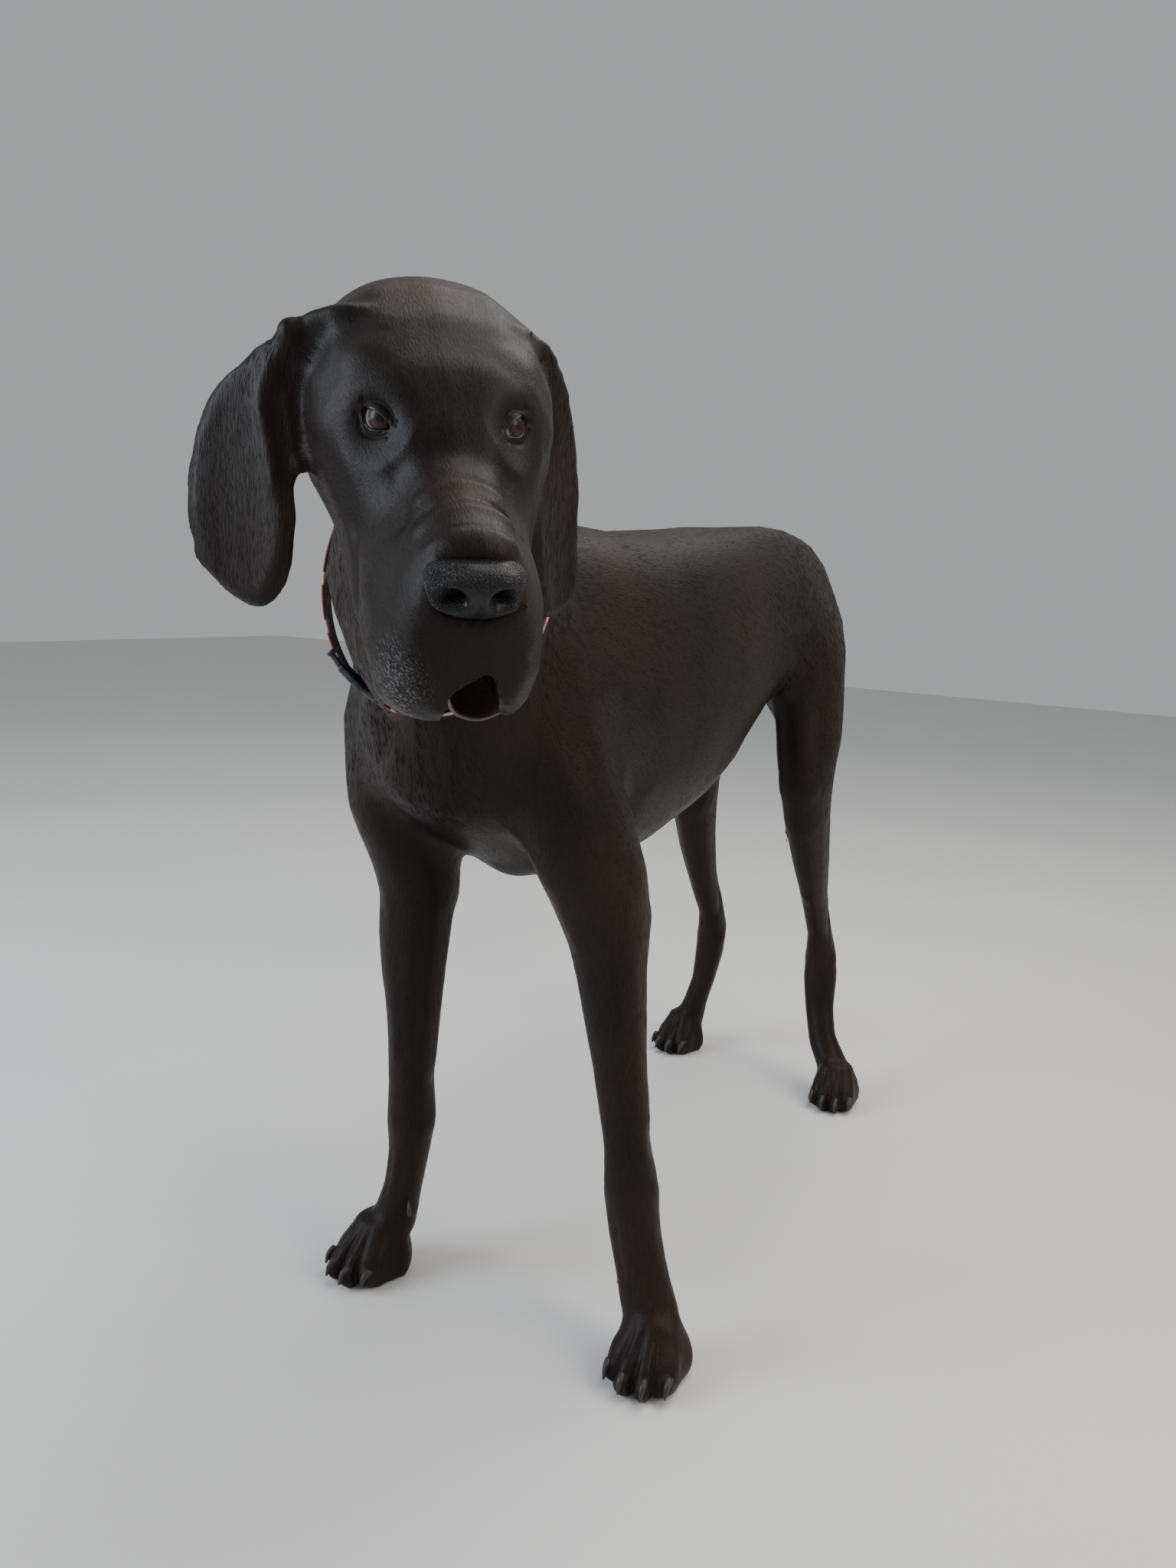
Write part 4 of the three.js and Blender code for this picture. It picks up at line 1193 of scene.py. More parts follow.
def grow_tufts(name, surface, where, count, seed):
    """One piece of coat, on the skin's triangles that the mask names."""
    random = np.random.default_rng(seed)
    density = tuft_measure(coat_regions(surface.middle), 3)
    weight = surface.area * density * where * ~bare_places(surface.middle)
    chosen = random.choice(len(weight), count, p=weight / weight.sum())
    share = random.random((count, 2))
    share = np.where(share.sum(axis=1, keepdims=True) > 1, 1 - share, share)
    share = np.column_stack([1 - share.sum(axis=1), share])[:, :, None]
    corners = surface.triangles[chosen]
    roots = (surface.points[corners] * share).sum(axis=1)
    normals = unit_rows((surface.normals[corners] * share).sum(axis=1))
    flat = (surface.flat[chosen] * share).sum(axis=1)

    regions = coat_regions(roots)
    length, width, lift = (tuft_measure(regions, k) * MM for k in range(3))
    ruffled = ruffled_share(roots) * random.uniform(*RUFFLED_SPREAD, count)
    length = length * random.uniform(*LENGTH_SPREAD, count) * (1 + (RUFFLED_LENGTH - 1) * ruffled)
    width = width * random.uniform(*WIDTH_SPREAD, count)
    lift = lift * random.uniform(*LIFT_SPREAD, count) + RUFFLED_LIFT * MM * ruffled
    ways = lie_of_coat(roots, regions)
    ways = unit_rows(ways - normals * (ways * normals).sum(axis=1, keepdims=True))
    swirl = SWIRL * np.sin(roots[:, :2] @ SWIRL_WAVES) + random.normal(0, STRAY, count)
    ways = ways * np.cos(swirl)[:, None] + np.cross(normals, ways) * np.sin(swirl)[:, None]

    corners, shades = blades(roots, normals, ways, length, width, lift, surface)
    points = corners.reshape(-1, 3)
    points[:, 2] = np.maximum(points[:, 2], LOWEST_TUFT)
    faces = (TUFT_FACES[None] + TUFT_CORNERS * np.arange(count)[:, None, None]).reshape(-1, 3)
    texture = (flat[:, None] + BAKE_PATCH * TUFT_PATCH[None]).reshape(-1, 2)[faces.ravel()]
    mesh = big_mesh(name, points, faces, texture)
    coat = new_object(name, mesh)
    mesh.normals_split_custom_set_from_vertices(shades.reshape(-1, 3).tolist())
    return coat


def big_mesh(name, points, faces, texture):
    """A mesh of many triangles, with its bake map, set from arrays."""
    mesh = bpy.data.meshes.new(name)
    mesh.vertices.add(len(points))
    mesh.vertices.foreach_set("co", points.ravel())
    mesh.loops.add(faces.size)
    mesh.loops.foreach_set("vertex_index", faces.ravel().astype(np.int32))
    mesh.polygons.add(len(faces))
    mesh.polygons.foreach_set("loop_start", np.arange(0, faces.size, 3, dtype=np.int32))
    mesh.update(calc_edges=True)
    mesh.uv_layers.new(name=BAKE_MAP).data.foreach_set("uv", texture.ravel())
    return mesh


def coat_pieces(surface):
    """Which of the skin's triangles each piece of coat grows on."""
    head, _, _, trunk = region_shares(surface.middle)
    on_head = head > 0.5
    on_trunk = (trunk > 0.5) & ~on_head
    half = float(np.median(surface.middle[on_trunk, 1]))
    return {
        "coat_head": on_head,
        "coat_front": on_trunk & (surface.middle[:, 1] < half),
        "coat_back": on_trunk & (surface.middle[:, 1] >= half),
        "coat_legs": ~on_trunk & ~on_head,
    }


# Materials

SHORT_COAT = "short_coat"
# The mix node's two inputs and its output for each kind of value
MIX_SOCKETS = {"RGBA": (6, 7, 2), "FLOAT": (2, 3, 0)}


class Graph:
    """Adds nodes to one node tree in few words. Its end is the shader or the group's output."""

    def __init__(self, tree, end):
        self.tree, self.end = tree, end

    def put(self, value, socket):
        """Links a socket to another one, or gives it a plain value."""
        if isinstance(value, bpy.types.NodeSocket):
            self.tree.links.new(value, socket)
        else:
            socket.default_value = value

    def feed(self, **values):
        """Puts each value on the end's socket of that name."""
        for name, value in values.items():
            self.put(value, self.end.inputs[name.replace("_", " ")])

    def node(self, kind, inputs=None, **settings):
        """A node with its settings and its inputs, which are named or counted."""
        made = self.tree.nodes.new(kind)
        for name, value in settings.items():
            setattr(made, name, value)
        for name, value in (inputs or {}).items():
            self.put(value, made.inputs[name])
        return made

    def places(self):
        """The places on the object, in its own metres."""
        return self.node("ShaderNodeTexCoord").outputs["Object"]

    def apart(self, vector):
        """The X, Y and Z of a vector."""
        return self.node("ShaderNodeSeparateXYZ", {0: vector}).outputs

    def math(self, operation, a, b=0.0):
        return self.node("ShaderNodeMath", {0: a, 1: b}, operation=operation).outputs[0]

    def times(self, a, b):
        return self.math("MULTIPLY", a, b)

    def mix(self, share, a, b, kind="RGBA", **settings):
        """From a to b by the share, as colours or as plain values."""
        first, second, result = MIX_SOCKETS[kind]
        inputs = {0: share, first: a, second: b}
        return self.node("ShaderNodeMix", inputs, data_type=kind, **settings).outputs[result]

    def noise(self, where, scale, detail=2.0, roughness=0.5):
        settings = {"Vector": where, "Scale": scale, "Detail": detail, "Roughness": roughness}
        return self.node("ShaderNodeTexNoise", settings).outputs["Fac"]

    def spread(self, value, low, high, start=0.0, end=1.0, **settings):
        """A value's part between low and high, as a value from start to end."""
        inputs = {"Value": value, "From Min": low, "From Max": high, "To Min": start, "To Max": end}
        return self.node("ShaderNodeMapRange", inputs, **settings).outputs["Result"]

    def stretched(self, where, scale):
        return self.node("ShaderNodeMapping", {"Vector": where, "Scale": scale}).outputs[0]

    def bump(self, height, distance, strength):
        """Makes the end shade as if its surface had this height."""
        settings = {"Height": height, "Distance": distance, "Strength": strength}
        self.feed(Normal=self.node("ShaderNodeBump", settings).outputs["Normal"])


def colour(red, green, blue):
    return (red, green, blue, 1.0)


def new_group(name, inputs, outputs):
    """A shader node group with named sockets, each given as a name, a kind and a default value or None."""
    tree = bpy.data.node_groups.new(name, "ShaderNodeTree")
    for way, sockets in (("INPUT", inputs), ("OUTPUT", outputs)):
        for socket_name, kind, default in sockets:
            socket = tree.interface.new_socket(socket_name, in_out=way, socket_type=kind)
            if default is not None:
                socket.default_value = default
    enter = tree.nodes.new("NodeGroupInput")
    return Graph(tree, tree.nodes.new("NodeGroupOutput")), enter.outputs


def new_material(name, **constants):
    """A material with its Principled shader. The constants are set on the shader's own sockets."""
    material = bpy.data.materials.new(name)
    material.use_nodes = True
    graph = Graph(material.node_tree, material.node_tree.nodes["Principled BSDF"])
    graph.feed(**constants)
    return material, graph


def head_coordinates(graph, where):
    """Places in the head's frame, in metres."""
    back = Matrix(HEAD_TURN.tolist()).transposed()
    shift = -(back @ Vector(HEAD_AT))
    settings = {"Vector": where, "Location": tuple(shift), "Rotation": tuple(back.to_euler("XYZ"))}
    return graph.node("ShaderNodeMapping", settings).outputs[0]


def round_patch(graph, where, centre, radii):
    """1 at the centre of a rounded patch, 0 at its rim and outside."""
    shift = tuple(-c / r for c, r in zip(centre, radii))
    scale = tuple(1 / r for r in radii)
    local = graph.node("ShaderNodeMapping", {"Vector": where, "Location": shift, "Scale": scale}).outputs[0]
    length = graph.node("ShaderNodeVectorMath", {0: local}, operation="LENGTH").outputs["Value"]
    return graph.spread(length, 1.0, 0.15, interpolation_type="SMOOTHSTEP")


# Places in the head's frame in metres, each as its middle and its radii
# The skull top and the bridge take more brown. It is partly the coat's own tint and partly a painted
# brownish highlight, where these upward-facing parts catch the top light.
SKULL_TOP_TINT_AND_SHEEN = ((-0.01, 0.07, 0.075), (0.085, 0.10, 0.05))
BRIDGE_TINT_AND_SHEEN = ((0.0, -0.10, 0.02), (0.05, 0.06, 0.045))
CHIN = ((-0.034, -0.145, -0.075), (0.026, 0.032, 0.036))
GREY_SPOT = ((-0.049, -0.098, -0.022), (0.0055, 0.0045, 0.0065))
MOUTH = ((0.004, -0.112, -0.084), (0.027, 0.028, 0.030))
MOUTH_TONE = colour(0.05, 0.030, 0.028)
# The grain of the hair: more waves to the metre across the hair than along it
TRUNK_GRAIN = (620, 90, 480)
LEG_GRAIN = (620, 620, 90)
HEAD_GRAIN = (900, 150, 700)
# Between which heights the legs' grain starts, between which distances the head's, and how far out the ears'
LEG_GRAIN_FROM = (0.5, 0.4)
HEAD_GRAIN_FROM = (0.27, 0.2)
EAR_GRAIN_FROM = (0.066, 0.078)


def grain_of_hair(graph, where, waves_to_metre):
    """Fine noise, drawn out along the hair."""
    return graph.noise(graph.stretched(where, waves_to_metre), 1.0, 3, 0.6)


def short_coat_group(tones):
    """The colour, roughness and fine lie of a very short black coat, shared by the skin and its tufts."""
    graph, given = new_group(
        SHORT_COAT,
        [
            ("Black", "NodeSocketColor", colour(*tones.black)),
            ("Brown", "NodeSocketColor", colour(*tones.brown)),
            ("Frost", "NodeSocketColor", colour(*tones.frost)),
            ("Grain", "NodeSocketFloat", 1.0),
        ],
        [
            ("Color", "NodeSocketColor", None),
            ("Roughness", "NodeSocketFloat", None),
            ("Height", "NodeSocketFloat", None),
        ],
    )
    where = graph.places()
    head = head_coordinates(graph, where)
    on_leg = graph.spread(graph.apart(where)["Z"], *LEG_GRAIN_FROM)
    distance = graph.node("ShaderNodeVectorMath", {0: where, 1: tuple(HEAD_AT)}, operation="DISTANCE")
    on_head = graph.spread(distance.outputs["Value"], *HEAD_GRAIN_FROM)

    along_trunk = grain_of_hair(graph, where, TRUNK_GRAIN)
    along_leg = grain_of_hair(graph, where, LEG_GRAIN)
    along_head = grain_of_hair(graph, head, HEAD_GRAIN)
    on_ear = graph.spread(graph.math("ABSOLUTE", graph.apart(head)["X"]), *EAR_GRAIN_FROM)
    over_head = graph.mix(on_ear, along_head, along_leg, "FLOAT")
    hair = graph.mix(on_head, graph.mix(on_leg, along_trunk, along_leg, "FLOAT"), over_head, "FLOAT")

    broad = graph.noise(where, 7.0, 3, 0.5)
    brown_share = graph.spread(broad, 0.3, 0.8, 0.1, 0.6)
    # Painted brownish highlight on the upward-facing skull top and bridge, laid over the coat's own random
    # brown tint
    for patch, most in ((SKULL_TOP_TINT_AND_SHEEN, 0.85), (BRIDGE_TINT_AND_SHEEN, 0.6)):
        brown_share = graph.math("MAXIMUM", brown_share, graph.times(round_patch(graph, head, *patch), most))
    tone = graph.mix(brown_share, given["Black"], given["Brown"])

    chin = round_patch(graph, head, *CHIN)
    fleck = graph.spread(hair, 0.5, 0.72)
    frost = graph.times(chin, graph.times(fleck, 0.75))
    frost = graph.math("MAXIMUM", frost, graph.times(round_patch(graph, head, *GREY_SPOT), 1.3))
    tone = graph.mix(frost, tone, given["Frost"])
    mouth = round_patch(graph, head, *MOUTH)
    tone = graph.mix(graph.spread(mouth, 0.0, 0.35), tone, MOUTH_TONE)

    streaks = graph.spread(hair, 0.3, 0.75, 0.78, 1.3)
    shade = graph.node("ShaderNodeCombineColor", {0: streaks, 1: streaks, 2: streaks}).outputs[0]
    graph.feed(Color=graph.mix(1.0, tone, shade, blend_type="MULTIPLY"))
    graph.feed(Roughness=graph.spread(hair, 0.25, 0.8, 0.34, 0.52))
    graph.feed(Height=graph.times(hair, given["Grain"]))
    return graph.tree


def coat_material(name, coat, grain):
    """The coat's group on a material of its own, with its share of grain."""
    material, graph = new_material(name, Specular_IOR_Level=0.11)
    given = graph.node("ShaderNodeGroup", {"Grain": grain}, node_tree=coat).outputs
    graph.feed(Base_Color=given["Color"], Roughness=given["Roughness"])
    graph.bump(given["Height"], 0.5 * MM, 0.6)
    return material


def nose_material():
    """Moist black leather with a fine pebble."""
    material, graph = new_material("nose_leather", Specular_IOR_Level=0.2, Coat_Roughness=0.2)
    where = graph.places()
    cells = graph.node("ShaderNodeTexVoronoi", {"Vector": where, "Scale": 620.0}, feature="DISTANCE_TO_EDGE")
    pebble = graph.spread(cells.outputs["Distance"], 0.0, 0.35)
    wet = graph.noise(where, 60.0, 2)
    tone = graph.mix(wet, colour(0.004, 0.004, 0.005), colour(0.012, 0.012, 0.014))
    graph.feed(Base_Color=tone)
    graph.feed(Roughness=graph.spread(wet, 0.3, 0.7, 0.42, 0.58))
    graph.feed(Coat_Weight=graph.spread(wet, 0.35, 0.65, 0.0, 0.28))
    graph.bump(pebble, 0.4 * MM, 1.0)
    return material


# Angles from the gaze over which the pupil ends, the iris darkens and the white starts
PUPIL_EDGE = (0.26, 0.31)
IRIS_EDGE = (0.50, 0.60)
WHITE_EDGE = (0.66, 0.80)


def eye_material():
    """Pupil, brown iris and dark rim, by the angle from the eye's gaze."""
    material, graph = new_material(
        "wet_eye", Coat_Weight=0.22, Coat_Roughness=0.05, Roughness=0.5, Specular_IOR_Level=0.15
    )
    where = graph.places()
    apart = graph.apart(graph.node("ShaderNodeVectorMath", {0: where}, operation="NORMALIZE").outputs[0])
    angle = graph.math("ARCCOSINE", apart["Z"])
    around = graph.math("ARCTAN2", apart["Y"], apart["X"])
    spokes = graph.node("ShaderNodeCombineXYZ", {0: graph.times(around, 9.0), 1: angle}).outputs[0]
    rays = graph.noise(spokes, 2.5, 4)
    iris = graph.mix(rays, colour(0.016, 0.007, 0.004), colour(0.062, 0.026, 0.013))
    tone = graph.mix(graph.spread(angle, *IRIS_EDGE), iris, colour(0.006, 0.004, 0.004))
    tone = graph.mix(graph.spread(angle, *WHITE_EDGE), tone, colour(0.21, 0.165, 0.17))
    tone = graph.mix(graph.spread(angle, *PUPIL_EDGE, 1.0, 0.0), tone, colour(0.002, 0.002, 0.002))
    graph.feed(Base_Color=tone)
    return material


def claw_material():
    """Dull dark horn with faint lines."""
    material, graph = new_material("claw_horn", Specular_IOR_Level=0.35)
    where = graph.places()
    lines = graph.noise(graph.stretched(where, (900, 160, 160)), 1.0, 3)
    tone = graph.mix(lines, colour(0.012, 0.011, 0.011), colour(0.05, 0.046, 0.044))
    graph.feed(Base_Color=tone)
    graph.feed(Roughness=graph.spread(lines, 0.3, 0.7, 0.32, 0.5))
    graph.bump(lines, 0.15 * MM, 0.6)
    return material


LID_TONES = (colour(0.006, 0.005, 0.005), colour(0.02, 0.014, 0.014))
LIP_TONES = (colour(0.02, 0.014, 0.013), colour(0.15, 0.11, 0.105))
INNER_LIP_TONES = (colour(0.05, 0.030, 0.028), colour(0.16, 0.095, 0.09))


def wet_skin_material(name, tones):
    """Moist bare skin between two tones."""
    material, graph = new_material(
        name, Coat_Weight=0.3, Coat_Roughness=0.15, Roughness=0.45, Specular_IOR_Level=0.3
    )
    where = graph.places()
    graph.feed(Base_Color=graph.mix(graph.noise(where, 420.0, 3), *tones))
    return material


# Eyes

EYE_RINGS = 40
EYE_SIDES = 48
# How far round from its pole the ball is made, and the rise of its clear front and how far that reaches
EYE_END = 0.82 * math.pi
CORNEA_REACH = 0.56
CORNEA_RISE = 0.9 * MM


def turn_to(way, up):
    """A rotation whose z is the way and whose y is as near up as can be."""
    z = unit(way)
    x = unit(np.cross(up, z))
    return np.array([x, np.cross(z, x), z]).T


def eye_ball(side, node):
    """One eyeball with its clear front, closed behind, which looks the way that both eyes look."""
    angles = np.linspace(0, EYE_END, EYE_RINGS)
    points = [(0, 0, EYE_RADIUS + CORNEA_RISE)]
    for angle in angles[1:]:
        rise = CORNEA_RISE * max(0.0, 1 - (angle / CORNEA_REACH) ** 2)
        radius = EYE_RADIUS + rise
        for turn in turns(EYE_SIDES):
            flat = radius * math.sin(angle)
            points.append((flat * math.cos(turn), flat * math.sin(turn), radius * math.cos(angle)))
    faces = [(0, 1 + k, 1 + (k + 1) % EYE_SIDES) for k in range(EYE_SIDES)]
    faces += ring_faces(EYE_RINGS - 1, EYE_SIDES, start=1)
    faces += end_faces(len(points), EYE_SIDES)[1:]
    obj = new_object(node + "_ball", mesh_from(node + "_ball", points, faces))
    gaze = turn_from_head(LIDS_FACE * mirrored(side) + EYES_TURN)
    turn = Matrix(turn_to(gaze, turn_from_head([0, 0, 1])).tolist())
    obj.matrix_world = Matrix.Translation(from_head(eye_in_head(side))) @ turn.to_4x4()
    return obj


# Nose

NOSE_CENTRE = (0, -150, -18)
NOSE_RADII = (25.5, 15.5, 14.5)
NOSE_CUTS = 36
# Over 2 the form is fuller than an egg's
NOSE_FULLNESS = 2.6


def nose_leather():
    """The wide nose, with its comma-shaped nostrils and the groove between them, from a rounded form."""
    shape = bmesh.new()
    bmesh.ops.create_cube(shape, size=2.0)
    bmesh.ops.subdivide_edges(shape, edges=shape.edges[:], cuts=NOSE_CUTS, use_grid_fill=True)
    mesh = mesh_of("nose_leather", shape)
    ways = unit_rows(mesh_points(mesh))
    radii = (np.abs(ways) ** NOSE_FULLNESS).sum(axis=1) ** (-1 / NOSE_FULLNESS)
    local = ways * radii[:, None] * NOSE_RADII
    # Wider above than below, drawn in at the back, and leaning back below and to the sides
    local[:, 0] *= 1 + 0.004 * local[:, 2] - 0.10 * ramp(local[:, 1], 2, 14)
    local[:, 1] += 0.10 * np.maximum(-local[:, 2], 0) + 0.006 * local[:, 0] ** 2
    local += NOSE_CENTRE
    triangles, edges = mesh_triangles(mesh), mesh_edges(mesh)
    clay = Clay(local, point_normals(local, triangles))
    clay.both("swell", (14, -163, -8), (12, 10, 9), 1.2)
    clay.both("swell", (21, -159, -25), (9, 10, 9), 1.4)
    clay.crease([(0, -168, -6), (0, -167, -16), (0, -163, -27), (0, -158, -34)], 1.7, 2.2)
    local = clay.worked()
    clay = Clay(local, point_normals(local, triangles))
    clay.both("swell", (13, -164, -19), (10.5, 14, 9.0), -13.0)
    clay.both("crease", [(15, -164, -23), (21, -160, -22), (26, -153, -18), (29, -146, -13)], 2.3, 5.0, 0.1)
    local = smoothed(clay.worked(), edges, np.full(len(local), 0.6), 3)
    set_points(mesh, from_head(local))
    return new_object("nose_leather", mesh)


# Claws

CLAW_STEPS = 12
CLAW_SIDES = 14
CLAW_BED = 5.0 * MM
CLAW_SHOWN = 0.72
CLAW_HALF_THICK = 4.3 * MM
# The curl's height as a share of the length, the taper to the tip and its power, and the width over depth
CLAW_CURL = 0.16
CLAW_TAPER = 0.74
CLAW_TAPER_POWER = 2.2
CLAW_WIDE = 0.8
DEWCLAW_HALF_THICK = 2.8 * MM
DEWCLAW_IN = 8.5 * MM
DEWCLAW_ROOT_IN = 1.3
DEWCLAW_SHOWN = 0.7


def curved_claw(node):
    """A claw of oval section that tapers and curls down to its worn tip."""
    corners, _ = node_arrays(node)
    centre = corners.mean(0)
    axis = np.linalg.svd(corners - centre)[2][0]
    along = (corners - centre) @ axis
    off_axis = np.linalg.norm(corners - centre - np.outer(along, axis), axis=1)
    if off_axis[along > 0].max() > off_axis[along < 0].max():
        axis, along = -axis, -along
    root, tip = centre + axis * along.min(), centre + axis * along.max()
    thick = CLAW_HALF_THICK
    if node.startswith("dew"):
        thick = DEWCLAW_HALF_THICK
        shank = np.array([*middle("pastern_" + node[-2:])[:2], centre[2]])
        inward = DEWCLAW_IN * unit(shank - centre)
        root, tip = root + DEWCLAW_ROOT_IN * inward, tip + inward
        tip = root + DEWCLAW_SHOWN * (tip - root)
    root, tip = root - CLAW_BED * axis, root + CLAW_SHOWN * (tip - root)
    length = np.linalg.norm(tip - root)
    side = unit(np.cross(axis, [0, 0, 1]))
    rise = np.cross(side, axis)
    points = []
    for step in np.linspace(0, 1, CLAW_STEPS):
        lift = CLAW_CURL * length * math.sin(math.pi * min(step * 1.05, 1))
        place = root + (tip - root) * step + rise * lift
        radius = thick * (1 - CLAW_TAPER * step**CLAW_TAPER_POWER)
        for turn in turns(CLAW_SIDES):
            across = side * (CLAW_WIDE * radius * math.cos(turn))
            points.append(place + across + rise * (radius * math.sin(turn)))
    faces = ring_faces(CLAW_STEPS, CLAW_SIDES) + end_faces(len(points), CLAW_SIDES)
    points = np.array(points)
    points[:, 2] = np.maximum(points[:, 2], 0.0)
    return new_object(node + "_horn", mesh_from(node + "_horn", points, faces))


# Collar

BAND_WIDTH = 25 * MM
BAND_THICK = 2.6 * MM
COLLAR_SLACK = 1.0 * MM
BAND_STEPS = 220
BAND_EDGE = 5
BAND_MAP = "band"
# How far the band's face lies inside the CAD's loop, and the waves of the woven face
BAND_INSET = 0.3 * MM
BAND_RIPPLE = 0.15 * MM
BAND_RIPPLES = 9
# The loop's higher way across and its wider one
COLLAR_LEAN = np.array([0.17, 0.2, 0.965])
COLLAR_ACROSS = np.array([-0.888, -0.46, 0.0])


def collar_axes():
    """The loop's middle, its higher and its wider way across, the way along the neck, and its half sizes."""
    high = unit(COLLAR_LEAN)
    wide = unit(COLLAR_ACROSS - high * (COLLAR_ACROSS @ high))
    ways = np.array([high, wide, np.cross(high, wide)])
    spans = node_arrays("collar")[0] @ ways.T
    centre = (spans.max(0) + spans.min(0)) / 2 @ ways
    return centre, ways[0], ways[1], ways[2], np.ptp(spans, axis=0)[:2] / 2


def band_section():
    """Places over the band's section: out from the neck and along it, with round edges."""
    rounding = BAND_THICK / 2
    flat = BAND_WIDTH / 2 - rounding
    outline = []
    for turn in np.linspace(-math.pi / 2, math.pi / 2, BAND_EDGE):
        outline.append((rounding * (1 + math.sin(turn)), flat + rounding * math.cos(turn)))
    for share in np.linspace(0.9, -0.9, 9):
        outline.append((BAND_THICK + BAND_RIPPLE * math.cos(share * BAND_RIPPLES), share * flat))
    for turn in np.linspace(math.pi / 2, -math.pi / 2, BAND_EDGE):
        outline.append((rounding * (1 + math.sin(turn)), -flat - rounding * math.cos(turn)))
    for share in np.linspace(-0.7, 0.7, 4):
        outline.append((0.0, share * flat))
    return outline


def collar_band():
    """The band round the neck, with a map of its own in metres along and across the webbing."""
    centre, high, wide, thrust, half = collar_axes()
    section = band_section()
    points, faces, texture = [], [], []
    count = len(section)
    around = sum(half) * math.pi
    for turn in turns(BAND_STEPS):
        for out, slide in section:
            push = out - BAND_THICK - BAND_INSET
            place = centre + high * (half[0] + push) * math.cos(turn)
            points.append(place + wide * (half[1] + push) * math.sin(turn) + thrust * slide)
    for step in range(BAND_STEPS):
        a, b = step * count, ((step + 1) % BAND_STEPS) * count
        for k in range(count):
            n = (k + 1) % count
            faces.append((a + k, a + n, b + n, b + k))
            for at, row in ((step, k), (step, k + 1), (step + 1, k + 1), (step + 1, k)):
                texture.append((around * at / BAND_STEPS, section[row % count][1]))
    mesh = mesh_from("collar_band", points, faces)
    mesh.uv_layers.new(name=BAND_MAP).data.foreach_set("uv", np.array(texture).ravel())
    return outward(new_object("collar_band", mesh))


EDGE_STEPS = 3
EDGE_FULLNESS = 0.6


def rounded_block(name, size, edge, place=(0, 0, 0)):
    """A block with rounded edges, as a mesh."""
    shape = bmesh.new()
    bmesh.ops.create_cube(shape, size=1.0)
    bmesh.ops.scale(shape, vec=size, verts=shape.verts)
    bmesh.ops.bevel(
        shape, geom=shape.edges[:], offset=edge, segments=EDGE_STEPS, profile=EDGE_FULLNESS, affect="EDGES"
    )
    bmesh.ops.translate(shape, vec=place, verts=shape.verts)
    return mesh_of(name, shape)


def node_pose(node):
    """The middle and the three ways of a block-like node, the longest first."""
    corners, _ = node_arrays(node)
    centre = (corners.max(0) + corners.min(0)) / 2
    ways = np.linalg.svd(corners - corners.mean(0))[2]
    if np.linalg.det(ways) < 0:
        ways[2] = -ways[2]
    return centre, ways


# The radius of the buckle's curve, doubled, and how far its two halves lie under its middle
BUCKLE_CURVE = 220 * MM
BUCKLE_STEP = 0.3 * MM


def buckle_body():
    """A curved two-part buckle: the middle, two halves, two end bars, a button and two side grips."""
    centre, ways = node_pose("buckle")
    corners, _ = node_arrays("buckle")
    size = [np.ptp(corners @ way) for way in ways]
    neck = collar_axes()[0]
    if (centre - neck) @ ways[2] < 0:
        ways[2], ways[1] = -ways[2], -ways[1]
    long, wide, thick = size
    pieces = [
        ((0, 0, 0), (long * 0.46, wide * 0.98, thick * 0.62), thick * 0.24),
        ((long * 0.33, 0, -BUCKLE_STEP), (long * 0.32, wide * 0.86, thick * 0.5), thick * 0.2),
        ((-long * 0.33, 0, -BUCKLE_STEP), (long * 0.30, wide * 0.9, thick * 0.5), thick * 0.2),
        ((long * 0.47, 0, 0), (long * 0.05, wide * 0.96, thick * 0.62), thick * 0.12),
        ((-long * 0.47, 0, 0), (long * 0.05, wide * 0.96, thick * 0.62), thick * 0.12),
        ((long * 0.12, 0, thick * 0.3), (long * 0.1, wide * 0.5, thick * 0.12), thick * 0.05),
        ((-long * 0.08, wide * 0.47, 0), (long * 0.26, wide * 0.06, thick * 0.44), thick * 0.05),
        ((-long * 0.08, -wide * 0.47, 0), (long * 0.26, wide * 0.06, thick * 0.44), thick * 0.05),
    ]
    shape = bmesh.new()
    for place, box, edge in pieces:
        block = rounded_block("block", box, edge, place)
        shape.from_mesh(block)
        bpy.data.meshes.remove(block)
    mesh = mesh_of("buckle_body", shape)
    points = mesh_points(mesh)
    points[:, 2] -= points[:, 0] ** 2 / BUCKLE_CURVE
    set_points(mesh, points @ ways + centre)
    return outward(new_object("buckle_body", mesh))


RING_WIRE = 1.9 * MM
RING_LEAN = 0.13
RING_STEPS = 64
RING_SIDES = 16
KEEPER_SIZE = (9 * MM, 15 * MM, 5 * MM)
KEEPER_EDGE = 1.4 * MM
# How far out from the band's face the ring's middle and the keeper's lie, in thicknesses of the wire
RING_OUT = 1.3
KEEPER_OUT = 0.8


def ring_pose():
    """Where the ring meets the band, the ways down, along the neck and out from it, and its radius."""
    centre, ways = node_pose("collar_ring")
    corners, _ = node_arrays("collar_ring")
    radius = np.ptp(corners @ ways[0]) / 2 - RING_WIRE
    loop, high, wide, thrust, half = collar_axes()
    up, across = (centre - loop) @ high, (centre - loop) @ wide
    out = unit(high * (up / half[0] ** 2) + wide * (across / half[1] ** 2))
    down = np.cross(thrust, out)
    down *= -np.sign(down[2])
    return centre - out * (radius + 2 * RING_WIRE), down, thrust, out, radius


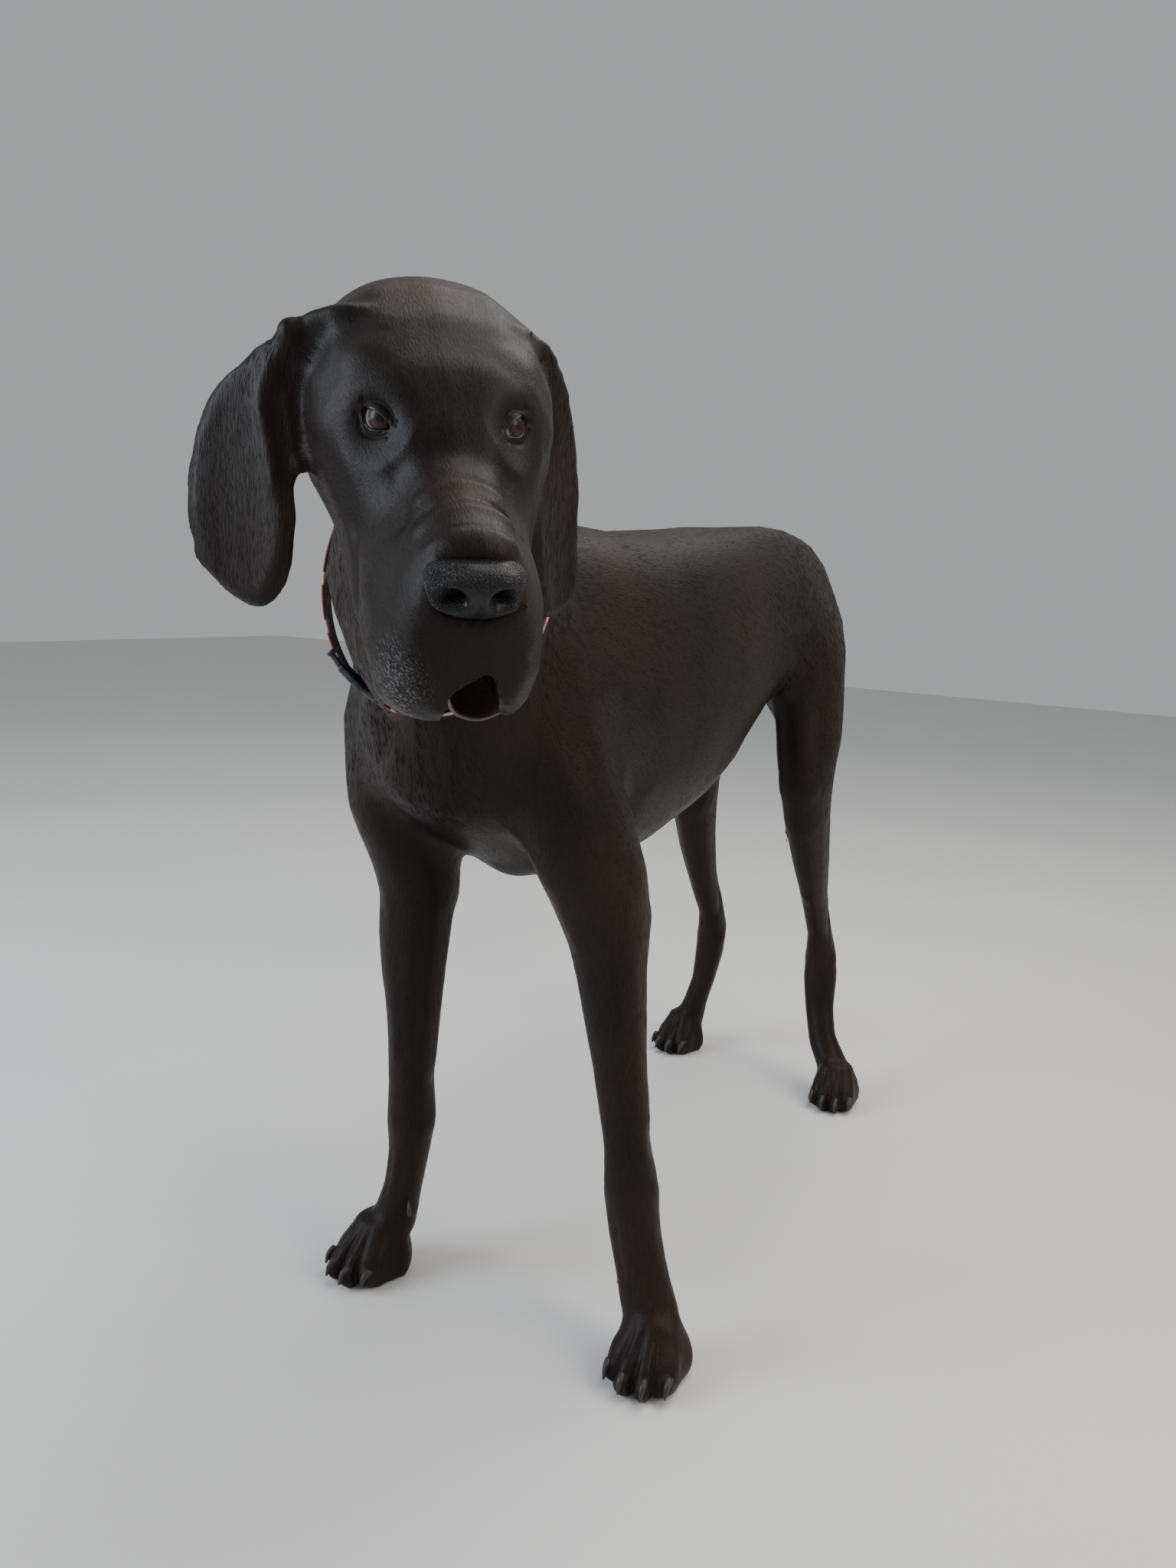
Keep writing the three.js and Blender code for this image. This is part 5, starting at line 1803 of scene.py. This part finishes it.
def ring_wire():
    """The ring, hanging flat from its keeper against the band."""
    foot, down, thrust, out, radius = ring_pose()
    down = unit(down - RING_LEAN * out)
    flat = np.cross(down, thrust)
    centre = foot + down * radius + out * (RING_OUT * RING_WIRE)
    points = []
    for a in turns(RING_STEPS):
        spoke = down * math.cos(a) + thrust * math.sin(a)
        for b in turns(RING_SIDES):
            place = centre + spoke * (radius + RING_WIRE * math.cos(b))
            points.append(place + flat * (RING_WIRE * math.sin(b)))
    faces = ring_faces(RING_STEPS, RING_SIDES, closed=True)
    return outward(new_object("collar_ring_wire", mesh_from("collar_ring_wire", points, faces)))


def ring_keeper():
    """The stitched loop of webbing that holds the ring to the band."""
    foot, down, thrust, out, _ = ring_pose()
    mesh = rounded_block("ring_keeper", KEEPER_SIZE, KEEPER_EDGE)
    ways = np.array([down, thrust, out])
    set_points(mesh, mesh_points(mesh) @ ways + foot + out * (KEEPER_OUT * RING_WIRE))
    return outward(new_object("ring_keeper", mesh))


# Where the row of stitches starts and ends, off the band's middle line, and how far one is from the next
STITCH_STARTS = (9.3 * MM, 10.0 * MM)
STITCH_ENDS = (10.6 * MM, 11.2 * MM)
STITCH_APART = 3.2 * MM


def waves(graph, distance, apart):
    """From -1 to 1 and back over each stretch of a distance."""
    return graph.math("SINE", graph.times(distance, 2 * math.pi / apart))


def webbing_material():
    """Maroon webbing with pale patches, a fine twill, and a row of stitches near each edge."""
    material, graph = new_material(
        "collar_webbing", Sheen_Weight=0.3, Sheen_Roughness=0.5, Specular_IOR_Level=0.3
    )
    flat = graph.node("ShaderNodeUVMap", uv_map=BAND_MAP).outputs[0]
    apart = graph.apart(flat)
    diagonal = graph.math("ADD", apart["X"], apart["Y"])
    warp = waves(graph, apart["Y"], 1.4 * MM)
    weft = waves(graph, diagonal, 1.9 * MM)
    twill = graph.times(graph.math("ADD", graph.times(warp, weft), 1.0), 0.5)
    patches = graph.noise(graph.stretched(flat, (1.0, 1.6, 1.0)), 55.0, 2, 0.5)
    pale = graph.spread(patches, 0.56, 0.60)
    fuzz = graph.noise(flat, 900.0, 3)
    maroon = graph.mix(fuzz, colour(0.085, 0.010, 0.018), colour(0.20, 0.035, 0.05))
    cream = graph.mix(fuzz, colour(0.42, 0.33, 0.24), colour(0.66, 0.56, 0.44))
    tone = graph.mix(pale, maroon, cream)
    off_middle = graph.math("ABSOLUTE", apart["Y"])
    beyond = graph.spread(off_middle, *STITCH_ENDS, 1.0, 0.0)
    line = graph.times(graph.spread(off_middle, *STITCH_STARTS), beyond)
    stitch = graph.times(line, graph.spread(waves(graph, apart["X"], STITCH_APART), -0.3, 0.0))
    graph.feed(Base_Color=graph.mix(stitch, tone, colour(0.50, 0.42, 0.33)))
    graph.feed(Roughness=graph.spread(fuzz, 0.3, 0.7, 0.7, 0.88))
    height = graph.math("ADD", graph.times(twill, 0.6), graph.times(stitch, 0.8))
    graph.bump(height, 0.35 * MM, 0.8)
    return material


def buckle_material():
    """Scuffed dark plastic with a fine moulded grain."""
    material, graph = new_material("buckle_plastic", Specular_IOR_Level=0.5)
    where = graph.places()
    grain = graph.noise(where, 1500.0, 3)
    scuffs = graph.noise(where, 90.0, 4, 0.7)
    tone = graph.mix(graph.spread(scuffs, 0.45, 0.7), colour(0.018, 0.024, 0.036), colour(0.05, 0.06, 0.08))
    graph.feed(Base_Color=tone)
    graph.feed(Roughness=graph.spread(scuffs, 0.3, 0.7, 0.28, 0.5))
    graph.bump(grain, 0.05 * MM, 0.5)
    return material


def steel_material():
    """Worn satin steel."""
    material, graph = new_material("ring_steel", Metallic=1.0)
    where = graph.places()
    wear = graph.noise(where, 260.0, 4, 0.65)
    graph.feed(Base_Color=graph.mix(wear, colour(0.42, 0.42, 0.43), colour(0.66, 0.65, 0.64)))
    graph.feed(Roughness=graph.spread(wear, 0.3, 0.7, 0.22, 0.42))
    graph.bump(wear, 0.04 * MM, 0.5)
    return material


# Floor, lights and camera

CAMERA_AT = (0.5229, -1.0972, 0.740)
CAMERA_TURN = math.radians(28)
CAMERA_TILT = math.radians(-10)
CAMERA_ROLL = math.radians(3)
CAMERA_LENS = 26.72


# Each light's place, its size, its power and its tint
LIGHTS_AIM = (0.0, 0.0, 0.55)
LIGHTS = {
    "window_light": ((-2.0, -1.9, 1.6), (1.6, 1.8), 70, (0.80, 0.88, 1.0)),
    "top_light": ((0.4, 0.8, 2.8), (2.4, 2.4), 60, (1.0, 0.96, 0.92)),
    "warm_light": ((2.4, -0.2, 1.9), (1.2, 1.6), 34, (1.0, 0.86, 0.74)),
}
SKY_TONE = colour(0.72, 0.75, 0.76)
SKY_STRENGTH = 0.55


def stage_material():
    """A plain pale floor, hardly clouded."""
    material, graph = new_material("pale_floor", Specular_IOR_Level=0.25)
    where = graph.places()
    cloud = graph.noise(where, 1.5, 3)
    graph.feed(Base_Color=graph.mix(cloud, colour(0.66, 0.66, 0.65), colour(0.72, 0.72, 0.71)))
    graph.feed(Roughness=graph.spread(cloud, 0.3, 0.7, 0.6, 0.75))
    return material


def soft_light(name, place, size, power, tint):
    """A broad light that shines on the middle of the dog."""
    light = bpy.data.lights.new(name, "AREA")
    light.shape = "RECTANGLE"
    light.size, light.size_y = size
    light.energy = power
    light.color = tint
    obj = bpy.data.objects.new(name, light)
    bpy.context.scene.collection.objects.link(obj)
    way = Vector(place) - Vector(LIGHTS_AIM)
    obj.location = place
    obj.rotation_mode = "QUATERNION"
    obj.rotation_quaternion = way.to_track_quat("Z", "Y")


def photo_camera():
    """The camera that took the photo, as worked out from the floor and the paws."""
    data = bpy.data.cameras.new("photo_camera")
    data.lens = CAMERA_LENS
    data.clip_start = 0.02
    camera = bpy.data.objects.new("photo_camera", data)
    bpy.context.scene.collection.objects.link(camera)
    upright = Matrix.Rotation(math.radians(90) + CAMERA_TILT, 3, "X")
    turn = Matrix.Rotation(CAMERA_TURN, 3, "Z") @ upright @ Matrix.Rotation(CAMERA_ROLL, 3, "Z")
    camera.matrix_world = Matrix.Translation(CAMERA_AT) @ turn.to_4x4()
    bpy.context.scene.camera = camera


# Settings that a user would change


class CoatSettings(bpy.types.PropertyGroup):
    black: bpy.props.FloatVectorProperty(
        name="Black", description="The coat's main colour", subtype="COLOR", size=3,
        min=0, max=1, default=(0.0075, 0.0068, 0.0068),
    )
    # The brown is the coat's own tint, and it also makes the painted brownish highlight on the skull top and
    # the bridge
    brown: bpy.props.FloatVectorProperty(
        name="Brown", description="The tint of the skull top, shoulder and flanks", subtype="COLOR", size=3,
        min=0, max=1, default=(0.034, 0.021, 0.015),
    )
    frost: bpy.props.FloatVectorProperty(
        name="Frost", description="The grey hairs of the chin and lip", subtype="COLOR", size=3,
        min=0, max=1, default=(0.20, 0.20, 0.22),
    )


class StageSettings(bpy.types.PropertyGroup):
    floor: bpy.props.FloatProperty(
        name="Floor", description="The floor's width", default=16.0, min=2.0, unit="LENGTH"
    )
    strength: bpy.props.FloatProperty(
        name="Light", description="The strength of all the studio lights", default=1.0, min=0.0
    )


def settings():
    """The coat's settings and the stage's."""
    return bpy.context.scene.great_dane_coat, bpy.context.scene.great_dane_stage


SKIN_NAME = "skin"


def short_coat_tree():
    """The coat's node group, built once, with the user's colours."""
    return bpy.data.node_groups.get(SHORT_COAT) or short_coat_group(settings()[0])


def hand_over(piece, material, slot, *nodes):
    """Paints a piece, hides the nodes that it stands for and hangs it from the root. Nothing on a still
    model moves.
    """
    piece.data.materials.clear()
    piece.data.materials.append(material)
    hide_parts(*nodes)
    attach(piece, "root")


class GREATDANE_OT_skin(bpy.types.Operator):
    """Make the one skin of head, trunk, legs and tail"""

    bl_idname = "great_dane.skin"
    bl_label = "Skin"

    def execute(self, context):
        skin = shape_skin()
        skin.name = skin.data.name = SKIN_NAME
        skin.data.shade_smooth()
        hand_over(skin, coat_material("coat_on_skin", short_coat_tree(), 1.0), "coat", *FLESH)
        return {"FINISHED"}


class GREATDANE_OT_tufts(bpy.types.Operator):
    """Grow the short tufts over the skin, in four pieces"""

    bl_idname = "great_dane.tufts"
    bl_label = "Tufts"

    def execute(self, context):
        skin = bpy.data.objects[SKIN_NAME]
        unwrap(skin)
        surface = SkinSurface(skin)
        material = coat_material("coat_on_tufts", short_coat_tree(), 0.5)
        for seed, (name, where) in enumerate(coat_pieces(surface).items()):
            piece = grow_tufts(name, surface, where, TUFTS_IN_A_PIECE, SEED + seed)
            hand_over(piece, material, "coat", *FLESH)
        return {"FINISHED"}


class GREATDANE_OT_eyes(bpy.types.Operator):
    """Make both eyes and their wet lids"""

    bl_idname = "great_dane.eyes"
    bl_label = "Eyes"

    def execute(self, context):
        wet, lid = eye_material(), wet_skin_material("wet_lid", LID_TONES)
        for side, node in zip(SIDES, EYES):
            hand_over(eye_ball(side, node), wet, "eye", node)
            hand_over(tube(node + "_lid_rim", lid_curve(side), LID_RIM, True), lid, "eye", node)
        return {"FINISHED"}


class GREATDANE_OT_nose(bpy.types.Operator):
    """Make the moist pebbled nose and the lower lip"""

    bl_idname = "great_dane.nose"
    bl_label = "Nose"

    def execute(self, context):
        hand_over(nose_leather(), nose_material(), "nose", "nose")
        rim = tube("lower_lip_rim", curve_through(LIP_RIM, LIP_RIM_STEPS), LIP_RIM_THICK, False)
        hand_over(rim, wet_skin_material("wet_lip", LIP_TONES), "nose", "jaw")
        hand_over(lower_lip("lower_lip"), wet_skin_material("inner_lip", INNER_LIP_TONES), "nose", "jaw")
        return {"FINISHED"}


class GREATDANE_OT_claws(bpy.types.Operator):
    """Make the curved claws"""

    bl_idname = "great_dane.claws"
    bl_label = "Claws"

    def execute(self, context):
        horn = claw_material()
        for node in CLAWS:
            hand_over(curved_claw(node), horn, "claw", node)
        return {"FINISHED"}


class GREATDANE_OT_collar(bpy.types.Operator):
    """Make the collar's band, buckle and ring"""

    bl_idname = "great_dane.collar"
    bl_label = "Collar"

    def execute(self, context):
        webbing = webbing_material()
        hand_over(collar_band(), webbing, "webbing", "collar")
        hand_over(ring_keeper(), webbing, "webbing", "collar")
        hand_over(buckle_body(), buckle_material(), "buckle", "buckle")
        hand_over(ring_wire(), steel_material(), "steel", "collar_ring")
        return {"FINISHED"}


class GREATDANE_OT_stage(bpy.types.Operator):
    """Lay the pale floor, and place the lights and the camera"""

    bl_idname = "great_dane.stage"
    bl_label = "Stage"

    def execute(self, context):
        chosen = settings()[1]
        half = chosen.floor / 2
        corners = [(-half, -half, 0), (half, -half, 0), (half, half, 0), (-half, half, 0)]
        floor = new_object("floor", mesh_from("floor", corners, [(0, 1, 2, 3)]), smooth=False)
        floor.data.materials.append(stage_material())
        world = bpy.data.worlds.new("studio")
        context.scene.world = world
        world.use_nodes = True
        sky = world.node_tree.nodes["Background"]
        sky.inputs["Color"].default_value = SKY_TONE
        sky.inputs["Strength"].default_value = SKY_STRENGTH * chosen.strength
        for name, (place, size, power, tint) in LIGHTS.items():
            soft_light(name, place, size, power * chosen.strength, tint)
        photo_camera()
        return {"FINISHED"}


class GREATDANE_PT_panel(bpy.types.Panel):
    """Lists the great dane's pieces"""

    bl_idname = "GREATDANE_PT_panel"
    bl_label = "Standing Great Dane"
    bl_space_type = "VIEW_3D"
    bl_region_type = "UI"
    bl_category = "Great Dane"

    def draw(self, context):
        coat, stage = settings()
        for name in ("black", "brown", "frost"):
            self.layout.prop(coat, name)
        for name in ("floor", "strength"):
            self.layout.prop(stage, name)
        for operator in OPERATORS:
            self.layout.operator(operator.bl_idname)


OPERATORS = (
    GREATDANE_OT_skin,
    GREATDANE_OT_tufts,
    GREATDANE_OT_eyes,
    GREATDANE_OT_nose,
    GREATDANE_OT_claws,
    GREATDANE_OT_collar,
    GREATDANE_OT_stage,
)
CLASSES = (CoatSettings, StageSettings, *OPERATORS, GREATDANE_PT_panel)


def register():
    for cls in CLASSES:
        bpy.utils.register_class(cls)
    bpy.types.Scene.great_dane_coat = bpy.props.PointerProperty(type=CoatSettings)
    bpy.types.Scene.great_dane_stage = bpy.props.PointerProperty(type=StageSettings)


def unregister():
    del bpy.types.Scene.great_dane_stage
    del bpy.types.Scene.great_dane_coat
    for cls in reversed(CLASSES):
        bpy.utils.unregister_class(cls)


def main():
    register()
    bpy.ops.great_dane.skin()
    bpy.ops.great_dane.tufts()
    bpy.ops.great_dane.eyes()
    bpy.ops.great_dane.nose()
    bpy.ops.great_dane.claws()
    bpy.ops.great_dane.collar()
    bpy.ops.great_dane.stage()


if __name__ == "__main__":
    main()
